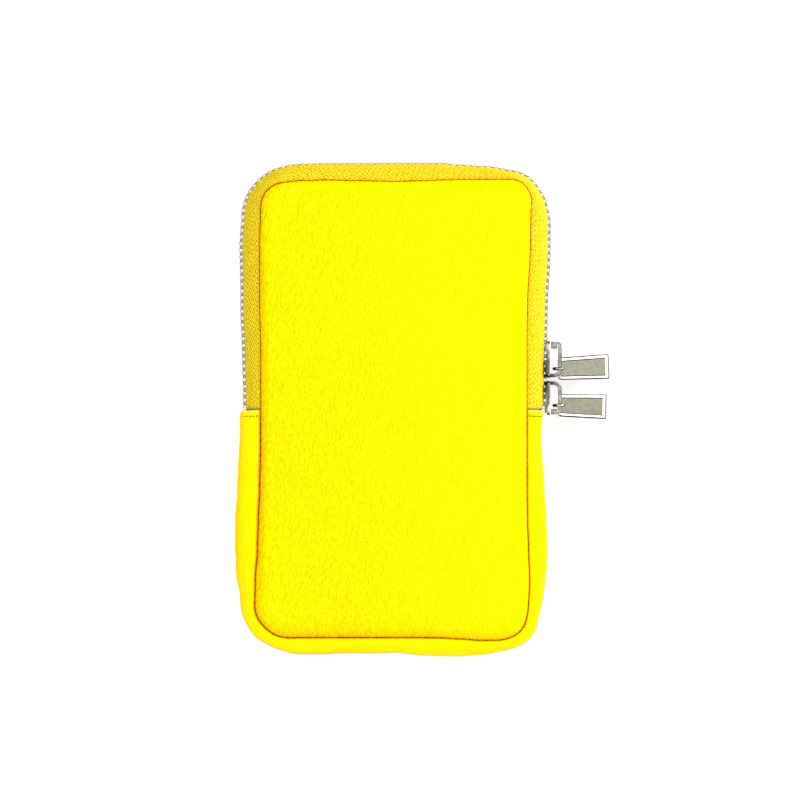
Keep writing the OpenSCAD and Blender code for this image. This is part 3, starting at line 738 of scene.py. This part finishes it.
# ZIP TEETH
# Nickel-plated teeth, clamped one by one on the tapes' edges and set alternately, so that the two
# rows lock. Between the two sliders' wedges the rows stand apart.
CHAIN_X, CHAIN_Y, CHAIN_Y0 = 55.0, 89.3, -1.66
CHAIN_RIGHT_R, CHAIN_LEFT_R = 22.4, 17.6
PITCH, TOOTH_W, HEAD_W, TOOTH_T, TOOTH_REACH, TOOTH_TOP = 2.5, 1.3, 1.0, 1.65, 0.8, 2.5
HEAD_T_SHARE, TOOTH_EDGE = 0.8, 0.24
STOP_L, STOP_CLEAR, STOP_EDGE = 1.5, 0.2, 0.35
NOSE_Y, SPLIT_REACH, SPLIT_LOW = 11.2, 7.45, 1.6
right_run = CHAIN_Y - CHAIN_RIGHT_R - CHAIN_Y0
right_bend = CHAIN_RIGHT_R * math.pi / 2
end_run = 2 * CHAIN_X - CHAIN_RIGHT_R - CHAIN_LEFT_R
left_bend = CHAIN_LEFT_R * math.pi / 2
left_run = CHAIN_Y - CHAIN_LEFT_R - CHAIN_Y0
chain_l = right_run + right_bend + end_run + left_bend + left_run


def chain_at(s):
    """Place and turn of the chain at a distance from its right-hand end."""
    if s < right_run:
        return CHAIN_X, CHAIN_Y0 + s, 0
    s -= right_run
    if s < right_bend:
        r, a = CHAIN_RIGHT_R, 90 * s / right_bend
        return *arc_point(CHAIN_X - r, CHAIN_Y - r, r, a), a
    s -= right_bend
    if s < end_run:
        return CHAIN_X - CHAIN_RIGHT_R - s, CHAIN_Y, 90
    s -= end_run
    if s < left_bend:
        r, a = CHAIN_LEFT_R, 90 + 90 * s / left_bend
        return *arc_point(r - CHAIN_X, CHAIN_Y - r, r, a), a
    return -CHAIN_X, CHAIN_Y - CHAIN_LEFT_R - (s - left_bend), 180


def solid_place(tree):
    return node(tree, "ShaderNodeTexCoord").outputs["Object"]


nickel, nickel_tree, nickel_shader = new_material("polished nickel")
nickel_cloud = noised(nickel_tree, solid_place(nickel_tree), 900.0, 3.0)
nickel_color = mixed(nickel_tree, nickel_cloud, (0.86, 0.85, 0.8, 1), (0.96, 0.95, 0.92, 1))
# painted shade: the masked parts are painted a dark olive nickel
nickel_shade = marked(nickel_tree, "metal_shade")
fed(nickel_shader, {
    "Base Color": mixed(nickel_tree, nickel_shade, nickel_color, (0.62, 0.57, 0.4, 1)),
    "Metallic": 1.0,
    "Roughness": ramped(nickel_tree, nickel_cloud, 0.3, 0.7, 0.12, 0.24),
    "Normal": bumped(nickel_tree, nickel_cloud, 0.02, 0.5),
})


def bevelled(bm, geom, offset, segments=1, affect="EDGES"):
    bmesh.ops.bevel(
        bm, geom=geom, offset=offset, offset_type="OFFSET", segments=segments, profile=0.5,
        affect=affect, material=-1, clamp_overlap=True,
    )


def placed(x, y, z, degrees, axis="Z"):
    """A move to a place after a turn."""
    return Matrix.Translation((x, y, z)) @ Matrix.Rotation(math.radians(degrees), 4, axis)


def tooth_row(name, side, shift):
    """One tape's teeth. They stand back from the middle where the sliders' wedges are."""
    bm = bmesh.new()
    first = STOP_L + STOP_CLEAR + TOOTH_W / 2 + shift
    count = int((chain_l - 2 * (STOP_L + STOP_CLEAR) - TOOTH_W - shift) / PITCH)
    for i in range(count + 1):
        px, py, turn = chain_at(first + i * PITCH)
        low = SPLIT_LOW if px > 0 and abs(py - NOSE_Y) < SPLIT_REACH else -TOOTH_REACH
        made = bmesh.ops.create_cube(bm, size=1)["verts"]
        for v in made:
            head = v.co.z < 0
            v.co.x *= TOOTH_T * (HEAD_T_SHARE if head else 1)
            v.co.y *= HEAD_W if head else TOOTH_W
            v.co.z = side * (low if head else TOOTH_TOP)
        bmesh.ops.transform(bm, matrix=placed(*settled(px, py), MID_Z, turn), verts=made)
    bevelled(bm, list(bm.edges), TOOTH_EDGE)
    bmesh.ops.recalc_face_normals(bm, faces=bm.faces)
    bm.verts.index_update()
    # painted shade on the teeth's lower parts, where the two rows lock
    mark(bm, "metal_shade", [eased((1.7, 2.15), (1, 0), abs(v.co.z - MID_Z)) for v in bm.verts])
    row = finished(bm, name, nickel)
    row.data.set_sharp_from_angle(angle=math.radians(30))
    return row


front_teeth = tooth_row("front_teeth_row", 1, 0)
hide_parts("zip_teeth_front_lower", "zip_teeth_front_upper")
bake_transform(front_teeth)
back_teeth = tooth_row("back_teeth_row", -1, PITCH / 2)
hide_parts("zip_teeth_back")
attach(back_teeth, "pouch")

stops = bmesh.new()
for side in (-1, 1):
    made = bmesh.ops.create_cube(stops, size=1)["verts"]
    bmesh.ops.scale(stops, vec=(TOOTH_T, STOP_L, 2 * TOOTH_TOP), verts=made)
    bmesh.ops.translate(
        stops, vec=(*settled(side * CHAIN_X, CHAIN_Y0 + STOP_L / 2), MID_Z), verts=made
    )
bevelled(stops, list(stops.edges), STOP_EDGE, 3)
end_stops = finished(stops, "end_stops", nickel)
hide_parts("zip_end_stops")
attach(end_stops, "pouch")

# SEAM THREAD
# Twisted brown polyester thread. In the seams it shows as short dark stitches down in the valley,
# and one row of it holds each of the gusset's hems.
STITCH_STEP, STITCH_L, THREAD_R, SEAM_Z, WANDER = 2.7, 2.6, 0.16, 8.75, 0.13
SIDE_POINTS = 400
HEM_STITCH_L, HEM_STITCH_R, HEM_STITCH_IN = 0.95, 0.26, 2.1
HEM_STITCH_ANGLES = (84, 76, 67, 57, 46, 33)
thread, thread_tree, thread_shader = new_material("seam thread")
thread_twist = node(
    thread_tree, "ShaderNodeTexWave",
    {"Vector": solid_place(thread_tree), "Scale": 900.0, "Distortion": 1.5},
    wave_type="BANDS", bands_direction="DIAGONAL",
).outputs["Fac"]
fed(thread_shader, {
    "Base Color": mixed(thread_tree, thread_twist, (0.08, 0.01, 0.0005, 1), (0.3, 0.06, 0.001, 1)),
    "Roughness": 0.75,
    "Specular IOR Level": 0.1,
    "Normal": bumped(thread_tree, thread_twist, 0.05, 0.8),
})


def seam_points(step):
    """Evenly spaced points round the seam, with the turn of the seam at each."""
    fine = []
    for i in range(4 * SIDE_POINTS):
        s = 2 * (i % SIDE_POINTS) / SIDE_POINTS - 1
        u, v = ((1, s), (-s, 1), (-1, -s), (s, -1))[i // SIDE_POINTS]
        fine.append(settled(*rounded_plan(u, v, HALF_W, HALF_L)))
    fine.append(fine[0])
    length = sum(math.dist(a, b) for a, b in zip(fine, fine[1:]))
    count = round(length / step)
    gone, target, found = 0.0, 0.0, []
    for a, b in zip(fine, fine[1:]):
        part = math.dist(a, b)
        while target < gone + part and len(found) < count:
            s = (target - gone) / part
            turn = math.atan2(b[1] - a[1], b[0] - a[0])
            found.append((a[0] + (b[0] - a[0]) * s, a[1] + (b[1] - a[1]) * s, turn))
            target += length / count
        gone += part
    return found


def stitch(bm, where, length, radius):
    made = bmesh.ops.create_uvsphere(bm, u_segments=8, v_segments=6, radius=1)["verts"]
    shape = Matrix.Diagonal((length / 2, radius, radius, 1))
    bmesh.ops.transform(bm, matrix=where @ shape, verts=made)


def seam_stitches(name, side):
    """A panel's whole row of stitches, each a little off the line."""
    bm = bmesh.new()
    for x, y, turn in seam_points(STITCH_STEP):
        wander = WANDER * noise.noise(Vector((x * 0.8, y * 0.8, side)))
        where = placed(x, y, MID_Z + side * SEAM_Z, math.degrees(turn + wander))
        stitch(bm, where @ Matrix.Translation((0, wander, 0)), STITCH_L, THREAD_R)
    return finished(bm, name, thread)


front_stitches = seam_stitches("front_seam_stitches", 1)
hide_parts("front_seam_thread_lower", "front_seam_thread_upper")
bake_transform(front_stitches)
back_stitches = seam_stitches("back_seam_stitches", -1)
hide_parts("back_seam_thread")
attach(back_stitches, "pouch")

hem_row = bmesh.new()
for side in (-1, 1):
    for face in (-1, 1):
        for degrees in HEM_STITCH_ANGLES:
            a = math.radians(degrees)
            f = full(math.cos(a))
            x = side * (HALF_W + GUSSET_OUT_SIDE * f)
            y = HEM_Y - HEM_DIP * f - HEM_STITCH_IN
            high = GUSSET_H * full(math.sin(a))
            lie = math.degrees(math.atan2(GUSSET_OUT_SIDE * f, high))
            where = placed(*settled(x, y), MID_Z + face * high, side * face * lie, "Y")
            stitch(hem_row, where, HEM_STITCH_L, HEM_STITCH_R)
hem_stitches = finished(hem_row, "hem_stitches", thread)
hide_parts("gusset_end_stitching")
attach(hem_stitches, "pouch")

# SLIDERS
# Two die-cast nickel sliders stand nose to nose on the closed zip. Each has two plates joined by
# a wedge, with flanges over the teeth, and an open crown that rises from its nose.
PLATE_TOP, BODY_EDGE = 56.95, 0.3
CROWN_H, CROWN_T, CROWN_W, CROWN_EDGE, CROWN_SUNK = 4.45, 1.3, 1.6, 0.34, 0.3
ROOT_R, ROOT_STEPS, TIP_R, TIP_STEPS, TIP_GAP = 2.35, 8, 1.05, 5, 0.6
SLIDER_L, CROWN_INSET = 11.0, 0.2
cast, cast_tree, cast_shader = new_material("cast nickel")
cast_cloud = noised(cast_tree, solid_place(cast_tree), 700.0, 4.0)
cast_color = mixed(
    cast_tree, ramped(cast_tree, cast_cloud, 0.35, 0.65),
    (0.34, 0.34, 0.28, 1), (0.68, 0.68, 0.6, 1),
)
# painted shade: the masked parts of the cast nickel are painted near black
cast_shade = marked(cast_tree, "metal_shade")
fed(cast_shader, {
    "Base Color": mixed(cast_tree, cast_shade, cast_color, (0.025, 0.025, 0.02, 1)),
    "Metallic": 1.0,
    "Roughness": ramped(cast_tree, cast_cloud, 0.3, 0.7, 0.1, 0.22),
    "Normal": bumped(cast_tree, cast_cloud, 0.06, 0.6),
})


def grown(bm, faces, step):
    """Lengthens a bar by moving its end face on, and returns the new end."""
    made = bmesh.ops.extrude_face_region(bm, geom=faces)["geom"]
    bmesh.ops.translate(bm, vec=step, verts=only(BMVert, made))
    return only(BMFace, made)


def bent(bm, faces, centre, steps):
    """Bends a bar a quarter turn on round a centre, and returns the new end."""
    return only(BMFace, bmesh.ops.spin(
        bm, geom=faces, cent=centre, axis=(0, 0, 1), angle=math.radians(-90), steps=steps,
        use_merge=False,
    )["geom_last"])


def crown(length, tip_l):
    """The crown's bar, with its root at y = 0 and x measured up from the plate."""
    bm = bmesh.new()
    bmesh.ops.create_grid(bm, x_segments=1, y_segments=1, size=0.5)
    start = placed(-CROWN_SUNK, -CROWN_T / 2, 0, 90, "Y")
    section = Matrix.Diagonal((CROWN_W, CROWN_T, 1, 1))
    bmesh.ops.transform(bm, matrix=start @ section, verts=bm.verts)
    middle = CROWN_H - CROWN_T / 2
    run = length - 2 * CROWN_INSET - CROWN_T - ROOT_R - TIP_R
    end = grown(bm, list(bm.faces), (CROWN_SUNK + middle - ROOT_R, 0, 0))
    end = bent(bm, end, (middle - ROOT_R, -CROWN_T / 2 - ROOT_R, 0), ROOT_STEPS)
    end = grown(bm, end, (0, -run, 0))
    end = bent(bm, end, (middle - TIP_R, -CROWN_T / 2 - ROOT_R - run, 0), TIP_STEPS)
    grown(bm, end, (-(middle - TIP_R - TIP_GAP), 0, 0))
    # the free tip is broader than the band, so its inner face moves in
    last = max(-v.co.y for v in bm.verts)
    for v in bm.verts:
        if v.co.x < middle - TIP_R + 0.01 and abs(v.co.y + last - CROWN_T) < 0.05:
            v.co.y += tip_l - CROWN_T
    # the bar's earlier ends are still inside it
    inside = [f for f in bm.faces if all(len(e.link_faces) > 2 for e in f.edges)]
    bmesh.ops.delete(bm, geom=inside, context="FACES_ONLY")
    bmesh.ops.recalc_face_normals(bm, faces=bm.faces)
    bevelled(bm, [e for e in bm.edges if e.calc_face_angle(0) > math.radians(60)], CROWN_EDGE)
    return bm


def added(bm, part, matrix):
    """Moves a part to its place and puts it in with the rest."""
    bmesh.ops.transform(part, matrix=matrix, verts=part.verts)
    if matrix.determinant() < 0:
        bmesh.ops.reverse_faces(part, faces=part.faces)
    held = bpy.data.meshes.new("held")
    part.to_mesh(held)
    part.free()
    bm.from_mesh(held)
    bpy.data.meshes.remove(held)


for which, nose_y, nose_more, way, length, tip_l in (
    ("upper", 11.4, 1.4, -1, 13.4, 2.5), ("lower", 10.3, 0.7, 1, 12.5, 2.0),
):
    body = bmesh.new()
    body.from_mesh(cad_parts[f"{which}_slider"].data)
    bmesh.ops.scale(body, vec=(1 / MM, 1 / MM, 1 / MM), verts=body.verts)
    bmesh.ops.remove_doubles(body, verts=body.verts, dist=0.002)
    bmesh.ops.dissolve_limit(
        body, angle_limit=math.radians(2), verts=body.verts, edges=body.edges
    )
    cut = bmesh.ops.bisect_plane(
        body, geom=body.verts[:] + body.edges[:] + body.faces[:], plane_co=(PLATE_TOP + 0.01, 0, 0),
        plane_no=(1, 0, 0), clear_outer=True,
    )["geom_cut"]
    bmesh.ops.holes_fill(body, edges=only(BMEdge, cut))
    bevelled(body, [
        e for e in body.edges if len(e.link_faces) == 2 and e.calc_face_angle() > math.radians(28)
    ], BODY_EDGE)
    for v in body.verts:
        v.co.y = nose_y + (v.co.y - nose_y + way * nose_more) * length / SLIDER_L
    place = Matrix.Translation((PLATE_TOP, nose_y - way * CROWN_INSET, MID_Z))
    added(body, crown(length, tip_l), place @ Matrix.Diagonal((1, way, 1, 1)))
    body.verts.index_update()
    # painted shade: darkest by the nose, where the sliders meet, on the body below the plate's top
    # and at the crown's root, lighter up the crown
    mark(body, "metal_shade", [
        eased((1, 9), (1, 0.5), abs(v.co.y - nose_y))
        * eased((56.7, 56.9, 57.1, 57.4, 59.8), (1, 0.45, 0.45, 1, 0.3), v.co.x)
        for v in body.verts
    ])
    slider = finished(body, f"{which}_slider_body", cast)
    slider.data.set_sharp_from_angle(angle=math.radians(35))
    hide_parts(f"{which}_slider")
    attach(slider, f"{which}_slider")

# LINKS
# A closed loop of round nickel-plated wire hangs on each crown. Its other end runs through the eye
# of the pull, so that the pull can droop.
BAND_X, DROOP = 60.75, 23
LINK_R, LINK_L, WIRE_T, WIRE_W, LINK_SHADE = 1.55, 1.9, 0.9, 1.15, 0.35
LINK_UPPER_Y, LINK_LOWER_Y = 14.75, 1.3

for which, y in (("upper", LINK_UPPER_Y), ("lower", LINK_LOWER_Y)):
    wire = bmesh.new()
    bmesh.ops.create_circle(wire, segments=12, radius=WIRE_W / 2)
    bmesh.ops.scale(wire, vec=(WIRE_T / WIRE_W, 1, 1), verts=wire.verts)
    bmesh.ops.translate(wire, vec=(LINK_R, 0, 0), verts=wire.verts)
    end = list(wire.edges)
    for centre, drop in (((0, 0, 0), -LINK_L), ((0, 0, -LINK_L), LINK_L)):
        arc = bmesh.ops.spin(
            wire, geom=end, cent=centre, axis=(0, 1, 0), angle=-math.pi, steps=12, use_merge=False
        )["geom_last"]
        made = bmesh.ops.extrude_edge_only(wire, edges=only(BMEdge, arc))["geom"]
        bmesh.ops.translate(wire, vec=(0, 0, drop), verts=only(BMVert, made))
        end = [e for e in only(BMEdge, made) if len(e.link_faces) == 1]
    bmesh.ops.remove_doubles(wire, verts=wire.verts, dist=0.01)
    bmesh.ops.recalc_face_normals(wire, faces=wire.faces)
    bmesh.ops.transform(wire, matrix=placed(BAND_X, y, MID_Z, DROOP, "Y"), verts=wire.verts)
    wire.verts.index_update()
    # painted shade: the whole link is painted darker
    mark(wire, "metal_shade", [LINK_SHADE] * len(wire.verts))
    link = finished(wire, f"{which}_link_wire", cast)
    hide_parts(f"{which}_link")
    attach(link, f"{which}_link")

# PULL TABS
# Flat nickel-plated tabs, a little wider at the outer end. Each has a bright bevelled border round
# a recessed satin field, and an eye that its link runs through.
TAB_INNER, TAB_OUTER, TAB_T, TAB_BACK = 8.2, 9.1, 1.2, 1.45
TAB_BORDER, TAB_RECESS, TAB_DOWN, EYE_R = 1.15, 0.28, 1.7, 0.72
CHAMFER_W, CHAMFER_H, CHAMFER_MORE, CHAMFER_END = 0.28, 0.36, 0.12, 0.42
OUTER_CORNER_R, INNER_CORNER_R = 0.5, 1.2
FIELD_X, FIELD_WALL = -1.1, 0.4
satin, satin_tree, satin_shader = new_material("satin nickel")
satin_cloud = noised(satin_tree, solid_place(satin_tree), 500.0, 4.0, Roughness=0.65)
satin_grain = noised(satin_tree, solid_place(satin_tree), 3500.0)
fed(satin_shader, {
    "Base Color": mixed(
        satin_tree, ramped(satin_tree, satin_cloud, 0.3, 0.7),
        (0.17, 0.165, 0.122, 1), (0.225, 0.218, 0.167, 1),
    ),
    "Metallic": 1.0,
    "Roughness": ramped(satin_tree, satin_grain, 0.25, 0.75, 0.3, 0.45),
    "Normal": bumped(satin_tree, satin_grain, 0.02, 0.6),
})


def sunk(bm, faces, width, depth):
    """Insets a patch of faces and moves it along its normals, up or down."""
    bmesh.ops.inset_region(
        bm, faces=faces, thickness=width, depth=depth, use_even_offset=True, use_boundary=True
    )


for which, y, tilt, tab_l in (
    ("upper", LINK_UPPER_Y, 2.7, 19.0), ("lower", LINK_LOWER_Y, -1.6, 17.9),
):
    plate = bmesh.new()
    bmesh.ops.create_grid(plate, x_segments=1, y_segments=1, size=0.5)
    for v in plate.verts:
        outer = v.co.x > 0
        v.co.x = tab_l if outer else -TAB_BACK
        v.co.y *= TAB_OUTER if outer else TAB_INNER
    for sign, radius in ((1, OUTER_CORNER_R), (-1, INNER_CORNER_R)):
        corners = [v for v in plate.verts if v.co.x * sign > 0]
        bevelled(plate, corners, radius, 3, "VERTICES")
    bmesh.ops.delete(plate, geom=plate.faces[:], context="FACES_ONLY")
    field = bmesh.ops.create_grid(plate, x_segments=1, y_segments=1, size=0.5)["verts"]
    for v in field:
        v.co.x = tab_l - TAB_BORDER if v.co.x > 0 else FIELD_X
        share = (v.co.x + TAB_BACK) / (tab_l + TAB_BACK)
        v.co.y *= TAB_INNER + (TAB_OUTER - TAB_INNER) * share - 2 * TAB_BORDER
    bmesh.ops.triangle_fill(plate, use_beauty=True, edges=plate.edges[:])
    top = list(plate.faces)
    bottom = only(BMFace, bmesh.ops.duplicate(plate, geom=top)["geom"])
    for faces, side in ((top, 1), (bottom, -1)):
        bmesh.ops.reverse_faces(plate, faces=[f for f in faces if f.normal.z * side < 0])
        bmesh.ops.translate(
            plate, vec=(0, 0, side * (TAB_T / 2 - CHAMFER_H)),
            verts=list({v for f in faces for v in f.verts}),
        )
        sunk(plate, faces, CHAMFER_W, CHAMFER_H)
        # the outer edges were ground more than the eye's, and the lower long edge the most
        for v in {v for f in faces for v in f.verts}:
            if v.co.y < 2 * CHAMFER_W - TAB_INNER / 2:
                v.co.y += 2 * CHAMFER_MORE
            if v.co.y > TAB_INNER / 2 - 2 * CHAMFER_W:
                v.co.y -= CHAMFER_MORE
            if v.co.x > tab_l - 2 * CHAMFER_W:
                v.co.x -= CHAMFER_END
        inner = max(faces, key=lambda f: f.calc_area())
        sunk(plate, [inner], FIELD_WALL, -TAB_RECESS)
        # the eye is punched through the field
        level = inner.verts[0].co.z
        edges = list(inner.edges)
        plate.faces.remove(inner)
        eye = bmesh.ops.create_circle(plate, segments=20, radius=EYE_R)["verts"]
        bmesh.ops.translate(plate, vec=(0, 0, level), verts=eye)
        edges += list({e for v in eye for e in v.link_edges})
        filled = bmesh.ops.triangle_fill(plate, use_beauty=True, edges=edges)["geom"]
        for face in only(BMFace, filled):
            face.material_index = 1
    rims = [e for e in plate.edges if len(e.link_faces) == 1]
    bmesh.ops.bridge_loops(plate, edges=[e for e in rims if e.verts[0].co.xy.length < 1])
    bmesh.ops.bridge_loops(plate, edges=[e for e in rims if e.verts[0].co.xy.length > 1])
    bmesh.ops.recalc_face_normals(plate, faces=plate.faces)
    if plate.calc_volume(signed=True) < 0:
        bmesh.ops.reverse_faces(plate, faces=plate.faces)
    hung = placed(BAND_X, y, MID_Z, DROOP, "Y")
    bmesh.ops.transform(
        plate, matrix=hung @ placed(LINK_R, 0, -TAB_DOWN, tilt), verts=plate.verts
    )
    tab = finished(plate, f"{which}_pull", nickel)
    tab.data.materials.append(satin)
    tab.data.set_sharp_from_angle(angle=math.radians(20))
    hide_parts(f"{which}_pull_tab")
    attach(tab, f"{which}_pull")

# FLOOR, LIGHT AND CAMERA
# A pale floor under soft studio light, with one lamp low on the right, seen from straight above as
# in the photograph.
FLOOR_HALF, FLOOR_GAP = 1500, 0.1
floor_mesh = bmesh.new()
bmesh.ops.create_grid(floor_mesh, x_segments=1, y_segments=1, size=FLOOR_HALF)
bmesh.ops.translate(floor_mesh, vec=(0, 0, -FLOOR_GAP), verts=floor_mesh.verts)
floor_paint, floor_tree, floor_shader = new_material("white floor")
floor_color = mixed(
    floor_tree, noised(floor_tree, solid_place(floor_tree), 3.0),
    (0.9, 0.9, 0.9, 1), (0.94, 0.94, 0.94, 1),
)
floor_path = node(floor_tree, "ShaderNodeLightPath").outputs
floor_glow = (1, 1, 1, 1)
for path, shade, glow in (("Is Camera Ray", 0.25, 1.54), ("Is Glossy Ray", 0.12, 0.15)):
    floor_color = mixed(floor_tree, floor_path[path], floor_color, (shade, shade, shade, 1))
    floor_glow = mixed(floor_tree, floor_path[path], floor_glow, (glow, glow, glow, 1))
fed(floor_shader, {
    "Base Color": floor_color,
    "Emission Color": floor_glow,
    "Emission Strength": 0.5,
    "Roughness": 0.9,
    "Specular IOR Level": 0.0,
})
# the pouch's back can be seen through the floor from below
floor_below = node(floor_tree, "ShaderNodeNewGeometry").outputs["Backfacing"]
floor_clear = node(floor_tree, "ShaderNodeBsdfTransparent").outputs[0]
floor_sides = node(
    floor_tree, "ShaderNodeMixShader", {0: floor_below, 1: floor_shader.outputs[0], 2: floor_clear}
)
fed(floor_tree.nodes["Material Output"], {"Surface": floor_sides.outputs[0]})
floor = finished(floor_mesh, "floor", floor_paint, smooth=False)
floor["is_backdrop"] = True

world = bpy.data.worlds.new("studio")
bpy.context.scene.world = world
world.use_nodes = True
world_tree = world.node_tree
sky_place = node(world_tree, "ShaderNodeTexCoord").outputs["Generated"]
sky_height = node(world_tree, "ShaderNodeSeparateXYZ", {0: sky_place}).outputs["Z"]
sky_around = ramped(world_tree, sky_height, 0.42, 0.62, 0.03, 1.0)
sky_box = ramped(world_tree, sky_height, 0.6, 0.66, 0.0, 1.35)
sky_hole = ramped(world_tree, sky_height, 0.92, 0.94, 0.0, 1.35)
sky_light = summed(world_tree, (sky_around, 1.0), (sky_box, 1.0), (sky_hole, -1.0))
fed(world_tree.nodes["Background"], {"Color": (1, 1, 1, 1), "Strength": sky_light})

LAMP_PLACE, LAMP_SIZE, LAMP_WATTS = (0.5, 0.25, 0.2), 0.3, 3.0
lamp = bpy.data.lights.new("key", "AREA")
lamp.size = LAMP_SIZE
lamp.energy = LAMP_WATTS
lamp_holder = bpy.data.objects.new("key", lamp)
lamp_holder.location = LAMP_PLACE
lamp_holder.rotation_euler = (-Vector(LAMP_PLACE)).to_track_quat("-Z", "Y").to_euler()
bpy.context.scene.collection.objects.link(lamp_holder)

PIXEL, FRAME_PIXELS = 0.000365, 801
VIEW_X, VIEW_Y, VIEW_Z, CAMERA_UP = 0.00237, 0.0031, 0.016, 2.0
SENSOR_W, FAR = 36, 20
camera = bpy.data.cameras.new("camera")
camera.sensor_width = SENSOR_W
camera.lens = SENSOR_W * CAMERA_UP / (PIXEL * FRAME_PIXELS)
camera.clip_end = FAR
camera_holder = bpy.data.objects.new("camera", camera)
camera_holder.location = (VIEW_X, VIEW_Y, VIEW_Z + CAMERA_UP)
bpy.context.scene.collection.objects.link(camera_holder)
bpy.context.scene.camera = camera_holder
bpy.context.scene.view_settings.view_transform = "Standard"

low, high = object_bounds()
